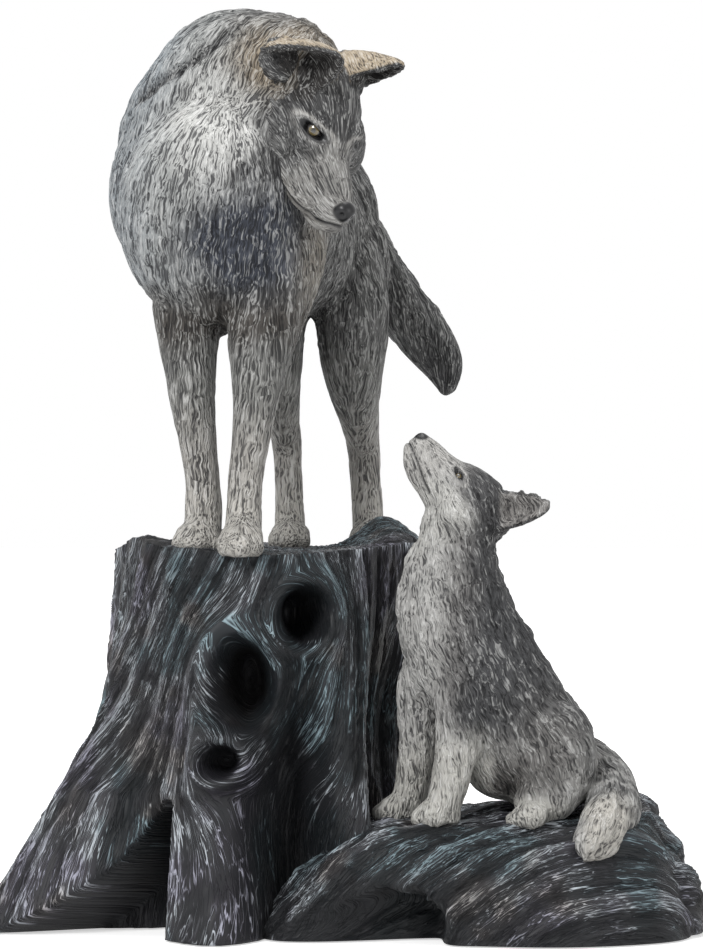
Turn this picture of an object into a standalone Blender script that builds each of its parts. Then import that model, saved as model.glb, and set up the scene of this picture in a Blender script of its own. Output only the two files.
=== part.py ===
"""A cast resin figurine: an adult wolf on a tree stump looks down at a pup that sits on a rock.

Lengths are in millimetres until the last step, +Z is up and the figurine faces -Y.
The origin is in the middle of the underside. Each tapered form is a loft: rows of
(x, y, z, half width, half depth) along a limb, joined by smooth elliptical rings.
"""

import math

import bpy
import numpy as np

MM = 0.001

# The casting and its overall sizes
STUMP_HEIGHT = 104.0
STUMP_TOP_HALF_WIDTH = 42.5
STUMP_TOP_HALF_DEPTH = 54.0
STUMP_X, STUMP_Y = -24.5, 8.0
ROCK_HEIGHT = 30.0
ROCK_X, ROCK_Y = 33.0, -32.0
ADULT_HEIGHT = 150.0
PUP_HEIGHT = 105.0
VOXEL = 1.1
TRIANGLES = 12400

# How far a paw or a lump sits into what carries it
SEAT = 1.6
# How far the stump and the rock go below z = 0 before the underside is cut flat
FOOT = 5.0
# The slab that cuts it: half its side, and its depth
SLAB_HALF, SLAB_DEEP = 200.0, 30.0
# Bark ribs: millimetres of arc per degree, the distance between ribs and their height
ARC = 0.87
RIB_PITCH = 8.6
RIB_RISE = 2.6
GRAIN_PITCH = 8.0
GRAIN_RISE = 2.0


def smooth_rows(rows, steps=6):
    """Points on the Catmull-Rom curve through the rows, a few in each gap."""
    rows = np.array(rows, float)
    ends = np.vstack([2 * rows[0] - rows[1], rows, 2 * rows[-1] - rows[-2]])
    made = []
    for a, b, c, d in zip(ends, ends[1:], ends[2:], ends[3:]):
        for t in np.linspace(0, 1, steps, endpoint=False):
            made.append(
                0.5 * (2 * b + (c - a) * t + (2 * a - 5 * b + 4 * c - d) * t**2
                       + (3 * b - a - 3 * c + d) * t**3)
            )
    return np.array(made + [rows[-1]])


def unit(v):
    return v / np.maximum(np.linalg.norm(v, axis=-1, keepdims=True), 1e-9)


def ring_faces(rings, sides, first=0):
    """Quads between rings, and a cap at each end as one polygon."""
    i, j = np.meshgrid(np.arange(rings - 1), np.arange(sides), indexing="ij")
    a = i * sides + j
    b = i * sides + (j + 1) % sides
    quads = np.stack([a, b, b + sides, a + sides], -1).reshape(-1, 4) + first
    start = list(range(first, first + sides))[::-1]
    end = list(range(first + (rings - 1) * sides, first + rings * sides))
    return [list(q) for q in quads] + [start, end]


def loft(rows, across=(1, 0, 0), sides=20):
    """A closed limb: an ellipse at each row, its half width along `across`."""
    rows = smooth_rows(rows)
    centre, width, depth = rows[:, :3], np.maximum(rows[:, 3], 0.4), np.maximum(rows[:, 4], 0.4)
    along = unit(np.gradient(centre, axis=0))
    across = np.array(across, float)
    side = unit(across - (along @ across)[:, None] * along)
    up = np.cross(along, side)
    angle = np.linspace(0, 2 * math.pi, sides, endpoint=False)[:, None]
    points = (centre[:, None] + np.cos(angle) * (width[:, None] * side)[:, None]
              + np.sin(angle) * (depth[:, None] * up)[:, None])
    return points.reshape(-1, 3), ring_faces(len(rows), sides)


def ball(centre, radii, rings=12, sides=20):
    """An ellipsoid, for a muscle, a lump or a toe."""
    latitude = np.linspace(-math.pi / 2 + 0.08, math.pi / 2 - 0.08, rings)[:, None]
    angle = np.linspace(0, 2 * math.pi, sides, endpoint=False)[None]
    points = np.stack([np.cos(latitude) * np.cos(angle), np.cos(latitude) * np.sin(angle),
                       np.sin(latitude) + 0 * angle], -1)
    return points.reshape(-1, 3) * radii + centre, ring_faces(rings, sides)


def moved(shape, turn=None, scale=1.0, offset=(0, 0, 0)):
    """The shape turned by a 3x3 matrix, scaled and shifted."""
    points, faces = shape
    if turn is not None:
        points = points @ np.array(turn).T
    return points * scale + np.array(offset, float), faces


def step(low, high, x):
    t = np.clip((x - low) / (high - low), 0, 1)
    return t * t * (3 - 2 * t)


def bump(x, width):
    return np.exp(-((x / width) ** 2))


def turned_from(angle, centre):
    """Degrees from centre, wrapped to the nearer way round."""
    return (angle - centre + 180) % 360 - 180


# The stump: a trunk whose radius is worked out for each angle and height.
# Angle 0 is +X and 270 is the front. A root is (angle, reach, half angle, height).
ROOTS = (
    (192, 28, 22, 62),
    (216, 26, 18, 84),
    (259, 17, 11, 96),
    (299, 10, 9, 110),
    (15, 18, 16, 60),
    (62, 20, 15, 70),
    (108, 22, 15, 74),
    (150, 22, 14, 60),
)
# A hollow is (angle, height, half angle, half height, depth).
HOLLOWS = (
    (279, 28, 10, 34, 22),
    (322, 40, 22, 36, 9),
    (38, 8, 10, 26, 14),
    (86, 6, 10, 24, 14),
    (130, 6, 9, 26, 14),
    (345, 10, 9, 24, 12),
)
# A knot hole is (angle, height, half angle, half height, depth, rim).
KNOTS = (
    (265.5, 68, 9.0, 14.0, 22, 4.5),
    (282.5, 87, 8.0, 8.5, 20, 3.5),
    (261, 48, 5.0, 5.0, 8, 6.0),
    (60, 70, 9.0, 10.0, 12, 4.0),
    (140, 50, 7.0, 8.0, 9, 4.0),
)
# The arch under the front left root: the angles at its ends, its height and its depth
ARCH_LOW, ARCH_HIGH = 210.0, 244.0
ARCH_RISE, ARCH_DEPTH = 37.0, 30.0
# A lump on the worn top is (x, y, half width, half depth, height).
TOP_LUMPS = (
    (-57, -18, 9, 13, 3.5),
    (9, 27, 9, 14, 7.5),
    (12, 5, 6, 11, 4.0),
    (-40, 56, 12, 6, 4.0),
    (-30, -46, 12, 8, -1.2),
)


def stump_radius(angle, height):
    """Trunk plus roots, less hollows and knot holes. Each knot has a raised rim."""
    share = height / STUMP_HEIGHT
    rad = np.radians(angle)
    top = 1 / np.sqrt((np.cos(rad) / STUMP_TOP_HALF_WIDTH) ** 2
                      + (np.sin(rad) / STUMP_TOP_HALF_DEPTH) ** 2)
    radius = top * (1.0 + 0.04 * np.sin(3 * rad + 0.5)) + 6.0 * (1 - share) ** 1.3
    for centre, reach, spread, rise in ROOTS:
        fade = np.clip(1 - height / rise, 0, 1) ** 1.15
        radius += reach * bump(turned_from(angle, centre), spread) * fade
    for centre, middle, spread, tall, depth in HOLLOWS:
        near = (turned_from(angle, centre) / spread) ** 2 + ((height - middle) / tall) ** 2
        radius -= depth * np.exp(-near**1.5)
    for centre, middle, spread, tall, depth, rim in KNOTS:
        near = np.sqrt((turned_from(angle, centre) / spread) ** 2
                       + ((height - middle) / tall) ** 2)
        radius += rim * bump(near - 1.25, 0.5) - depth * (1 - step(0.35, 1.1, near))
    roof = ARCH_RISE * np.clip((angle - ARCH_LOW) / (ARCH_HIGH - ARCH_LOW), 0, 1) ** 1.4
    radius -= ARCH_DEPTH * step(0, 7, roof - height) * step(ARCH_HIGH + 6, ARCH_HIGH, angle)
    return np.maximum(radius + RIB_RISE * (rib(bark_stream(angle, height), RIB_PITCH) - 0.5), 12)


def rib(stream, pitch):
    """0 in a groove and 1 on a rib. The grooves are narrow and each pair of ribs differs."""
    wave = np.abs(np.cos(math.pi * stream / pitch)) ** 0.8
    return wave * (0.78 + 0.22 * np.sin(0.37 * stream))


def bark_stream(angle, height):
    """Level lines of this run down the trunk, lean at the front left and part round the knots."""
    lean = 0.62 * bump(turned_from(angle, 240), 42) * (height - 50)
    stream = angle * ARC - lean + 2.2 * np.sin(height / 15 + np.radians(angle * 5))
    for centre, middle, spread, tall, depth, rim in KNOTS:
        away = turned_from(angle, centre) * ARC
        over = (height - middle) * (spread * ARC / tall)
        size = spread * ARC * 1.35
        apart = np.sqrt(away**2 + over**2) + 1e-6
        outside = -away * size**2 / np.maximum(apart, size) ** 2
        stream = stream + np.where(apart > size, outside, (apart - size) * 1.2 - away)
    return stream


def mound(x, y, radius_of, height_of, levels, cap=20, sides=240):
    """A closed wall from just below z = 0 up, then a lid that follows height_of."""
    angle = np.linspace(0, 360, sides, endpoint=False)
    rad = np.radians(angle)
    rings = []
    for share in levels:
        rim = radius_of(angle, share * height_of(x, y))
        px, py = x + rim * np.cos(rad), y + rim * np.sin(rad)
        rings.append(np.stack([px, py, share * height_of(px, py)], -1))
    rings.insert(0, rings[0] - (0, 0, FOOT))
    top = rings[-1][:, :2]
    for share in np.linspace(1, 0, cap + 1)[1:-1]:
        flat = (x, y) + (top - (x, y)) * share
        rings.append(np.column_stack([flat, height_of(flat[:, 0], flat[:, 1])]))
    return np.concatenate(rings), ring_faces(len(rings), sides)


def stump_top(x, y):
    """The worn top: nearly flat, with a few lumps near its edge."""
    height = STUMP_HEIGHT + 0.8 * np.sin(x / 9)
    for lump_x, lump_y, width, depth, rise in TOP_LUMPS:
        height = height + rise * bump(x - lump_x, width) * bump(y - lump_y, depth)
    return height


def stump_shapes():
    levels = np.concatenate([np.linspace(0, 0.97, 60), [0.99, 1.0]])
    return [mound(STUMP_X, STUMP_Y, stump_radius, stump_top, levels)]


ROCK_HALF_LENGTH = 59.0
ROCK_HALF_DEPTH = 37.0
# The bulge at the front is (angle, half angle, reach). The cave is the same, then its
# height and half height.
ROCK_BULGE = (300, 24, 5)
ROCK_CAVE = (234, 21, 22, 4, 13)


def rock_radius(angle, height):
    """The rock's outline: a rounded oblong, with a cave at the front left."""
    rad = np.radians(angle)
    power = 3.2
    radius = (np.abs(np.cos(rad) / ROCK_HALF_LENGTH) ** power
              + np.abs(np.sin(rad) / ROCK_HALF_DEPTH) ** power) ** (-1 / power)
    radius *= 1 - 0.17 * (height / ROCK_HEIGHT) ** 1.7
    centre, spread, reach = ROCK_BULGE
    radius += reach * bump(turned_from(angle, centre), spread) * (1 - 0.5 * height / ROCK_HEIGHT)
    centre, spread, reach, middle, tall = ROCK_CAVE
    cave = (turned_from(angle, centre) / spread) ** 2 + ((height - middle) / tall) ** 2
    radius -= reach * np.exp(-cave**2)
    x, y = ROCK_X + radius * np.cos(rad), ROCK_Y + radius * np.sin(rad)
    return radius + GRAIN_RISE * (rib(rock_stream(x, y, height), GRAIN_PITCH) - 0.5)


def rock_stream(x, y, z):
    """Level lines of this slope down to the left over the rock's front and top."""
    return 0.6 * z - 0.5 * x + 0.8 * y + 1.6 * np.sin(x / 19 + y / 17) + 1.0 * np.sin(z / 8 - x / 11)


def rock_top(x, y):
    """A low dome that falls away to the left end and to the front."""
    left = step(-30, 12, x)
    dome = 4 * bump(x - 45, 26) * bump(y + 22, 17)
    right = 4 * step(54, 80, x) * step(-48, -20, y)
    height = ROCK_HEIGHT * (0.36 + 0.64 * left) + dome + right - 9 * step(-50, -72, y)
    return height + GRAIN_RISE * (rib(rock_stream(x, y, height), GRAIN_PITCH) - 0.7) * step(-24, -34, y)


def rock_shapes():
    body = mound(ROCK_X, ROCK_Y, rock_radius, rock_top, np.linspace(0, 1, 22), sides=240)
    lumps = (
        ((76, -10, -2), (11, 13, 7.5)),
        ((81, -18, -13), (9, 14, 12)),
        ((84, -34, -24), (11, 12, 14)),
    )
    return [body] + [ball(np.add(c, (0, 0, ROCK_HEIGHT)), r) for c, r in lumps]


def paw(x, y, toward, width, length, height, toes=True):
    """A paw of four toes. (x, y) is under the leg, and toward is the way it points."""
    ahead = unit(np.array([*toward, 0.0]))
    side = np.array([-ahead[1], ahead[0], 0.0])
    turn = np.stack([ahead, side, (0, 0, 1)], 1)
    shapes = [ball((length * 0.1, 0, height * 0.42), (length * 0.42, width * 0.45, height * 0.52))]
    for share, forward in ((-0.72, 0.2), (-0.26, 0.36), (0.26, 0.36), (0.72, 0.2)):
        centre = (length * forward, share * width * 0.5, height * 0.3)
        shapes.append(ball(centre, (length * 0.26, width * 0.17, height * 0.36)))
    return [moved(s, turn, offset=(x, y, 0)) for s in shapes]


# The head in its own frame: +X to the nose, +Y to its left, +Z over the crown.
# Rows are (x, centre z, half width, half height).
ADULT_HEAD_ROWS = (
    (-17, 0, 8, 8),
    (-13, 0.6, 11.5, 12),
    (-6, -0.2, 12.8, 13.8),
    (1, -0.9, 11.8, 13.2),
    (7, -2.8, 10.2, 12),
    (12, -5.2, 8.2, 10.6),
    (17, -6.6, 7.0, 9.4),
    (22.5, -6.6, 6.0, 8.8),
    (27.5, -6.6, 5.3, 7.7),
    (31.5, -6.3, 4.5, 6.0),
    (34, -5.6, 3.3, 4.2),
    (35.2, -5.0, 1.6, 2.2),
)
PUP_HEAD_ROWS = (
    (-12, 0, 6, 6),
    (-8, 0.4, 9.6, 9.2),
    (-2, 0, 11, 10.4),
    (3.5, -0.8, 9.8, 9.6),
    (8, -2.0, 7.4, 7.8),
    (12.5, -2.6, 5.8, 6.6),
    (17, -2.8, 4.9, 5.6),
    (20.4, -2.6, 3.8, 4.4),
    (22.4, -2.2, 2.0, 2.6),
)
# Muscles and swellings on each side of the head: (x, y, z), (radii).
ADULT_HEAD_SIDES = (
    ((8.8, 5.4, 6.0), (5.0, 2.8, 2.7)),
    ((9.5, 6.2, -1.2), (6.2, 3.4, 4.2)),
    ((2.0, 10.4, -7.0), (11, 7.0, 9.5)),
    ((17.5, 5.2, -9.6), (11, 4.3, 5.0)),
    ((9.0, 7.2, -11.5), (9, 5.0, 6.0)),
)
PUP_HEAD_SIDES = (
    ((5.0, 5.8, 3.8), (3.4, 2.4, 2.2)),
    ((-1.0, 7.5, -3.0), (7, 5, 6.5)),
    ((14.0, 3.0, -4.0), (6, 2.6, 3.2)),
)
ADULT_HEAD_MIDDLE = (
    ((20, 0, -13.2), (11, 3.8, 3.4)),
    ((33.6, 0, -2.7), (3.0, 3.2, 2.8)),
    ((-10.2, -12.6, 7.2), (7.2, 6.5, 6.8)),
    ((-9.5, 8.5, 6.5), (6, 5, 6.5)),
)
PUP_HEAD_MIDDLE = (((12, 0, -7.0), (8, 3.4, 2.8)), ((21.0, 0, -0.9), (2.3, 2.6, 2.1)))


def head(rows, sides, middle, ears):
    """Skull and muzzle, brow, cheeks and lips, jaw, nose and two cupped ears."""
    shapes = [loft([(x, 0, z, w, h) for x, z, w, h in rows], across=(0, 1, 0), sides=28)]
    for side in (-1, 1):
        shapes += [ball(np.multiply(c, (1, side, 1)), r) for c, r in sides]
    shapes += [ball(c, r) for c, r in middle]
    return shapes + [ear(*way) for way in ears]


def ear(base, tip, opening, width, cup):
    """A cupped ear: a bent leaf with a wall, from the middle of its broad base to its tip.

    Its hollow looks along `opening`, and is `cup` times as deep as half its width.
    """
    length = np.linalg.norm(np.subtract(tip, base))
    tip_way = np.subtract(tip, base) / length
    edge = unit(np.cross(tip_way, opening))
    hollow = np.cross(edge, tip_way)
    wall = max(1.45, length * 0.075)
    up = np.linspace(0, 1, 10)[:, None]
    over = np.linspace(-1, 1, 15)[None]
    half = width * 0.5 * np.clip(1 - up**2.0, 0.02, 1) ** 0.75
    deep = cup * (1 - 0.3 * up)
    across = (over * half)[..., None] * edge - (half * deep * (1 - over**2))[..., None] * hollow
    leaf = base + (up * length)[..., None] * tip_way + across
    thick = wall * unit(hollow - (2 * deep * over)[..., None] * edge)
    rings = np.concatenate([leaf + thick, (leaf - thick)[:, ::-1]], 1)
    return rings.reshape(-1, 3), ring_faces(rings.shape[0], rings.shape[1])


def frame_of(forward, up):
    """Columns are a head's forward, left and up in the figurine's frame."""
    forward = unit(np.array(forward, float))
    left = unit(np.cross(up, forward))
    return np.stack([forward, left, np.cross(forward, left)], 1)


# The adult, in millimetres above the stump's top. It stands square, turned a little
# from the viewer, its neck bent round so that the head hangs down to its left.
ADULT_TORSO = (
    (-38, -53, 84, 8, 14),
    (-37, -47, 87, 20, 26),
    (-36, -36, 92, 27, 33),
    (-34, -20, 96, 29, 35),
    (-30, -2, 96, 27.5, 32),
    (-24, 16, 92, 24, 27),
    (-17, 34, 92, 20.5, 25),
    (-10, 52, 96, 18.5, 23),
    (-6, 64, 94, 13, 17),
    (-4, 71, 92, 6, 9),
)
ADULT_NECK = (
    (-36, -8, 100, 27, 28),
    (-36, -20, 116, 26, 25),
    (-31, -31, 129, 21, 20),
    (-22, -35.5, 132.5, 14.5, 15.5),
    (-13, -40.5, 129.5, 12, 14),
    (-8, -44, 121, 9, 10),
)
ADULT_MANE_ROLL = (
    (-26, -24, 142, 5, 5),
    (-32, -24, 141.5, 8, 8),
    (-38, -22, 137.5, 9, 9),
    (-46, -18, 130.5, 9.5, 9),
    (-53, -14, 123.5, 9, 8.5),
    (-58, -11, 115, 7, 7),
    (-59, -10, 106, 4, 5),
)
ADULT_LEGS = (
    # right fore, left fore, right hind, left hind
    ((-41, -22, 96, 6, 8), (-43, -24, 82, 13, 16), (-44.6, -25, 62, 8.6, 10), (-43.6, -26, 43, 6.3, 7.4),
     (-42, -26, 30, 5.3, 6), (-40.8, -26, 20, 4.9, 5), (-40.5, -26, 9, 5.2, 5.2), (-41, -27, 2, 5, 5)),
    ((-22, -26, 98, 6, 8), (-21, -31, 84, 14, 16), (-23.6, -35, 64, 10.4, 12), (-25.8, -39, 43, 6.4, 7.6),
     (-27.5, -40, 30, 5.1, 6), (-28.8, -40, 20, 4.9, 5), (-29.2, -40, 9, 5.1, 5.2), (-29.4, -41, 2, 5, 5)),
    ((-16, 48, 104, 5, 8), (-21, 47, 90, 10.5, 19), (-23, 40, 70, 10.5, 17), (-22, 42, 52, 7.5, 11),
     (-20, 52, 38, 4.8, 6.5), (-19, 58, 31, 4.6, 5.5), (-18.4, 56, 20, 4.2, 4.6), (-18, 53, 9, 4.6, 4.8),
     (-18, 51, 2, 4.6, 4.8)),
    ((-5, 50, 104, 5, 8), (-1, 50, 90, 10.5, 19), (0, 44, 70, 11, 17), (0.5, 46, 52, 8.6, 12),
     (2.4, 56, 38, 5.6, 7), (3.4, 62, 31, 5.2, 5.6), (4.2, 60, 20, 4.5, 4.6), (4.8, 57, 9, 4.7, 4.8),
     (5, 55, 2, 4.7, 4.8)),
)
ADULT_PAWS = (
    (-42.0, -29, 13.4, 17, 9.5),
    (-29.6, -44, 12.6, 17, 9.5),
    (-17.8, 48, 12.2, 16, 9),
    (5.7, 52, 12.6, 16, 9),
)
ADULT_TAIL = (
    (-6, 62, 100, 7, 8),
    (0, 70, 94, 8, 8.5),
    (9, 75, 79, 8.4, 8.6),
    (19.5, 77, 66, 8.2, 8.4),
    (26.5, 78, 56, 6.6, 6.8),
    (28.2, 78, 49, 3.6, 4),
    (27.2, 78, 45.5, 1.2, 1.4),
)
ADULT_FLUFF = (
    ((-33, -41, 98), (22, 14, 24)),
    ((-50, -17, 100), (16.5, 20, 24)),
    ((-17, -26, 96), (12, 18, 24)),
    ((-22, -44, 112), (14, 10, 16)),
)
ADULT_HEAD = dict(at=(-9.4, -43, 119.2), forward=(0.272, -0.593, -0.758), up=(0.536, -0.561, 0.631))
# An ear is (base, tip, the way its hollow looks, width, cup) in the head's frame.
ADULT_EARS = (
    ((-3.2, -16.7, 6.1), (5.9, -9.8, 24.6), (0.93, -0.33, 0.12), 18, 1.3),
    ((-7.5, 8.6, 6.5), (1.5, 12.6, 24.5), (0.95, 0.30, -0.05), 15, 1.15),
)


def adult_shapes():
    shapes = [loft(ADULT_TORSO), loft(ADULT_NECK), loft(ADULT_MANE_ROLL, across=(0, 1, 0))]
    shapes += [loft(rows) for rows in ADULT_LEGS]
    shapes.append(loft(ADULT_TAIL, across=(0, 1, 0)))
    shapes += [ball(c, r) for c, r in ADULT_FLUFF]
    for x, y, width, length, height in ADULT_PAWS:
        shapes += paw(x, y, (-0.1, -1), width, length, height)
    turn = frame_of(ADULT_HEAD["forward"], ADULT_HEAD["up"])
    shapes += [moved(s, turn, offset=ADULT_HEAD["at"])
               for s in head(ADULT_HEAD_ROWS, ADULT_HEAD_SIDES, ADULT_HEAD_MIDDLE, ADULT_EARS)]
    scale = ADULT_HEIGHT / 150.0
    return [moved(s, scale=scale, offset=(0, 0, STUMP_HEIGHT - SEAT)) for s in shapes]


# The pup, in millimetres above the rock. It sits side on and looks up to the left.
PUP_TORSO = (
    (56, -32, 4, 6, 6),
    (55, -33, 9, 12, 12),
    (51.5, -34, 19, 15, 14.5),
    (45, -35, 30, 14.5, 16.5),
    (37, -36, 41, 13.5, 18.5),
    (30.5, -37, 54, 13, 17.8),
    (28.3, -38, 66, 11.3, 15),
    (29.2, -38, 76, 9.8, 11.6),
    (30, -38, 84, 9, 10),
    (30, -38, 89, 6, 6),
)
PUP_LEGS = (
    # left fore, nearer the viewer, then right fore
    ((31, -39, 48, 8, 9), (30, -41.5, 38, 7.4, 8.6), (29.3, -44, 26, 5.6, 6.8), (27, -45, 14, 4.7, 5.2),
     (25, -45.5, 6, 4.7, 4.8), (24.5, -46, 1, 4.4, 4.6)),
    ((25, -35, 48, 8, 9), (21.5, -32, 38, 6.8, 8.6), (19, -30, 26, 5.2, 6.2), (17.2, -29.5, 14, 4.5, 4.9),
     (15.7, -29.5, 6, 4.6, 4.6), (14.7, -29.5, 1, 4.4, 4.6)),
)
PUP_HAUNCHES = (
    ((55.5, -44, 19), (10.5, 7.5, 15)),
    ((55.5, -23, 19), (10.5, 7.5, 15)),
    ((52, -46, 7), (8.5, 5.5, 6)),
    ((52, -21, 7), (8.5, 5.5, 6)),
    ((41, -35, 18), (11, 9, 11.5)),
)
PUP_PAWS = (
    (23.5, -46, (-1, -0.15), 10, 13, 8),
    (13.5, -29.5, (-1, -0.1), 10, 13, 8),
    (49.0, -50, (-1, -0.3), 9.4, 13, 7.4),
    (49.0, -18, (-1, 0.2), 9.4, 13, 7.4),
)
PUP_TAIL = (
    (58, -32, 19, 6.5, 6.5),
    (64.5, -31, 16, 6.6, 6.6),
    (69.5, -37, 10.5, 7, 7),
    (70.5, -46, 4.5, 7.4, 7),
    (67.5, -54, 0, 7.2, 6.6),
    (63, -60, -4, 5.2, 5),
    (61, -63, -6.5, 2, 2),
)
PUP_HEAD = dict(at=(31.0, -38, 87), forward=(-0.53, -0.08, 0.84), up=(0.845, 0.03, 0.53))
PUP_EARS = (
    ((-5.5, -6.8, 5.6), (-11.5, -11.2, 18.8), (0.55, -1.0, 0.3), 10.5, 0.9),
    ((-5.5, 6.8, 5.6), (-11.5, 11.2, 18.8), (0.55, 1.0, 0.3), 10.5, 0.9),
)


def pup_shapes():
    shapes = [loft(PUP_TORSO, across=(0, 1, 0)), loft(PUP_TAIL, across=(0, 0, 1))]
    shapes += [loft(rows, across=(0, 1, 0)) for rows in PUP_LEGS]
    shapes += [ball(c, r) for c, r in PUP_HAUNCHES]
    for x, y, toward, width, length, height in PUP_PAWS:
        shapes += paw(x, y, toward, width, length, height)
    turn = frame_of(PUP_HEAD["forward"], PUP_HEAD["up"])
    shapes += [moved(s, turn, offset=PUP_HEAD["at"])
               for s in head(PUP_HEAD_ROWS, PUP_HEAD_SIDES, PUP_HEAD_MIDDLE, PUP_EARS)]
    scale = PUP_HEIGHT / 105.0
    return [moved(s, scale=scale, offset=(0, 0, ROCK_HEIGHT - 0.5)) for s in shapes]


def resin(name, colour, roughness):
    material = bpy.data.materials.new(name)
    material.use_nodes = True
    shader = material.node_tree.nodes["Principled BSDF"]
    shader.inputs["Base Color"].default_value = (*colour, 1)
    shader.inputs["Roughness"].default_value = roughness
    return material


def fused(name, shapes, material):
    """All shapes as one casting: remeshed into one skin, smoothed, thinned and cut flat below."""
    points = np.concatenate([p for p, _ in shapes]) * MM
    faces, first = [], 0
    for shape_points, shape_faces in shapes:
        corners = [[first + i for i in face] for face in shape_faces]
        if signed_volume(shape_points, shape_faces) < 0:
            corners = [face[::-1] for face in corners]
        faces += corners
        first += len(shape_points)
    mesh = bpy.data.meshes.new(name)
    mesh.from_pydata(points.tolist(), [], faces)
    casting = bpy.data.objects.new(name, mesh)
    bpy.context.scene.collection.objects.link(casting)
    mesh.materials.append(material)
    skin = casting.modifiers.new("one skin", "REMESH")
    skin.mode = "VOXEL"
    skin.voxel_size = VOXEL * MM
    soften = casting.modifiers.new("soften", "SMOOTH")
    soften.factor = 0.5
    soften.iterations = 4
    graph = bpy.context.evaluated_depsgraph_get()
    count = sum(len(p.vertices) - 2 for p in casting.evaluated_get(graph).data.polygons)
    thin = casting.modifiers.new("thin", "DECIMATE")
    thin.ratio = TRIANGLES / count
    cut = casting.modifiers.new("flat underside", "BOOLEAN")
    cut.operation = "DIFFERENCE"
    cut.object = floor_cutter()
    return casting


def signed_volume(points, faces):
    total = 0.0
    for face in faces:
        a, b, c = points[face[0]], points[face[1]], points[face[2]]
        total += np.dot(points[face[0]], np.cross(b, c)) if len(face) < 5 else 0
        if len(face) == 4:
            total += np.dot(a, np.cross(c, points[face[3]]))
    return total


def floor_cutter():
    """A slab below z = 0 that cuts the underside flat."""
    half, deep = SLAB_HALF * MM, SLAB_DEEP * MM
    square = ((-half, -half), (half, -half), (half, half), (-half, half))
    corners = [(x, y, z) for z in (-deep, 0) for x, y in square]
    faces = [(3, 2, 1, 0), (4, 5, 6, 7), (0, 1, 5, 4), (1, 2, 6, 5), (2, 3, 7, 6), (3, 0, 4, 7)]
    mesh = bpy.data.meshes.new("floor_cutter")
    mesh.from_pydata(corners, [], faces)
    cutter = bpy.data.objects.new("floor_cutter", mesh)
    bpy.context.scene.collection.objects.link(cutter)
    cutter.hide_render = True
    cutter.display_type = "WIRE"
    return cutter


def main():
    for old in list(bpy.data.objects):
        bpy.data.objects.remove(old)
    grey = resin("painted_resin", (0.22, 0.22, 0.22), 0.6)
    shapes = stump_shapes() + rock_shapes() + adult_shapes() + pup_shapes()
    fused("wolf_figurine", shapes, grey)


main()
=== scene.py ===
# %% [markdown]
# # A wolf and its pup, cast in resin
#
# The figurine is one painted casting: an adult wolf stands on a tree stump and looks down
# at a pup that sits on a rock. Here its one CAD solid is replaced by finer pieces:
# the adult's coat and head, the pup, the stump, the rock and the eyes.
#
# Every tapered form is a loft: rows of (x, y, z, half width, half depth) along a limb.
# The lofts of a figure are remeshed into one skin. Then its fur is carved into the skin
# by noise that is drawn out along the lie of the hair.
#
# Sizes are in millimetres until a mesh is made. +Z is up and the front is -Y.

# %% Set-up
import math

import bmesh
import bpy
import numpy as np
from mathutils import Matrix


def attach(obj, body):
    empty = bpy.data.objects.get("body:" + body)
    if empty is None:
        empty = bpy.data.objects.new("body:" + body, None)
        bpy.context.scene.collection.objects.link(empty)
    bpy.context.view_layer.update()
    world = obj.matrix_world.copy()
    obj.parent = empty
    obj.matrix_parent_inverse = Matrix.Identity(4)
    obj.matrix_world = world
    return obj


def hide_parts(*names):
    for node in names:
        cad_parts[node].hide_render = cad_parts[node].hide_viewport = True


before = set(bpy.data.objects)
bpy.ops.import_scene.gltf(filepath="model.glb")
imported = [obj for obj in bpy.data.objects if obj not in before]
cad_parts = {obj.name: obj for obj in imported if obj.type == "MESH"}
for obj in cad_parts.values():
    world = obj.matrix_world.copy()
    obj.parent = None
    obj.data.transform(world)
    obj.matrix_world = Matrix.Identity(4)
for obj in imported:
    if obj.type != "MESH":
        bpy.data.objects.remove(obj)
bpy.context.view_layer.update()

MM = 0.001
STUMP_HEIGHT = 104.0
ROCK_HEIGHT = 30.0
NODE = "wolf_figurine"
# Voxel sizes of the remeshes: the coarse one that joins the shapes, and the fine skin. The
# fine one is smoothed three times.
BODY_CELLS = (1.1, 0.62)
HEAD_CELLS = (0.62, 0.38)
PUP_CELLS = (0.75, 0.50)
FINE_ROUNDS = 3

# %% [markdown]
# ## Noise and smooth steps
#
# All chance here comes from one seeded table of random numbers. Noise at a point is
# blended from the eight table values around it.

# %% Noise
TABLE = np.random.default_rng(7).uniform(-1, 1, (64, 64, 64)).astype(np.float32)


def step(low, high, x):
    """0 below low, 1 above high, and a smooth S between them. Low may be the larger."""
    t = np.clip((x - low) / (high - low), 0, 1)
    return t * t * (3 - 2 * t)


def bump(x, width):
    """A bell: 1 at x = 0, and about a third at x = width."""
    return np.exp(-((x / width) ** 2))


def corner_shares(inside):
    """Each corner of a cell and its share at places inside it: the product of the nearnesses."""
    for corner in np.ndindex(2, 2, 2):
        share = 1.0
        for axis, far in enumerate(corner):
            share = share * (inside[:, axis] if far else 1 - inside[:, axis])
        yield corner, share


def noise(points, cell, layer=0):
    """Smooth noise in -1..1 whose lumps are about one cell wide."""
    p = points / np.asarray(cell) + 17.31 * layer
    low = np.floor(p).astype(np.int32)
    f = (p - low).astype(np.float32)
    f = f * f * (3 - 2 * f)
    total = 0.0
    for (i, j, k), share in corner_shares(f):
        total = total + share * TABLE[(low[:, 0] + i) & 63, (low[:, 1] + j) & 63, (low[:, 2] + k) & 63]
    return total


def layered(points, cell, layer=0, octaves=3):
    """Noise plus finer noise of half the height, a few times over."""
    return sum(noise(points, cell / 2**k, layer + k) / 2**k for k in range(octaves))


# %% [markdown]
# ## Lofts, balls and ears
#
# A loft, a ball or an ear comes as (points, faces). A face may have many corners, because
# the remesh takes any closed surface.

# %% Shape helpers


def unit(v):
    return v / np.maximum(np.linalg.norm(v, axis=-1, keepdims=True), 1e-9)


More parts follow.
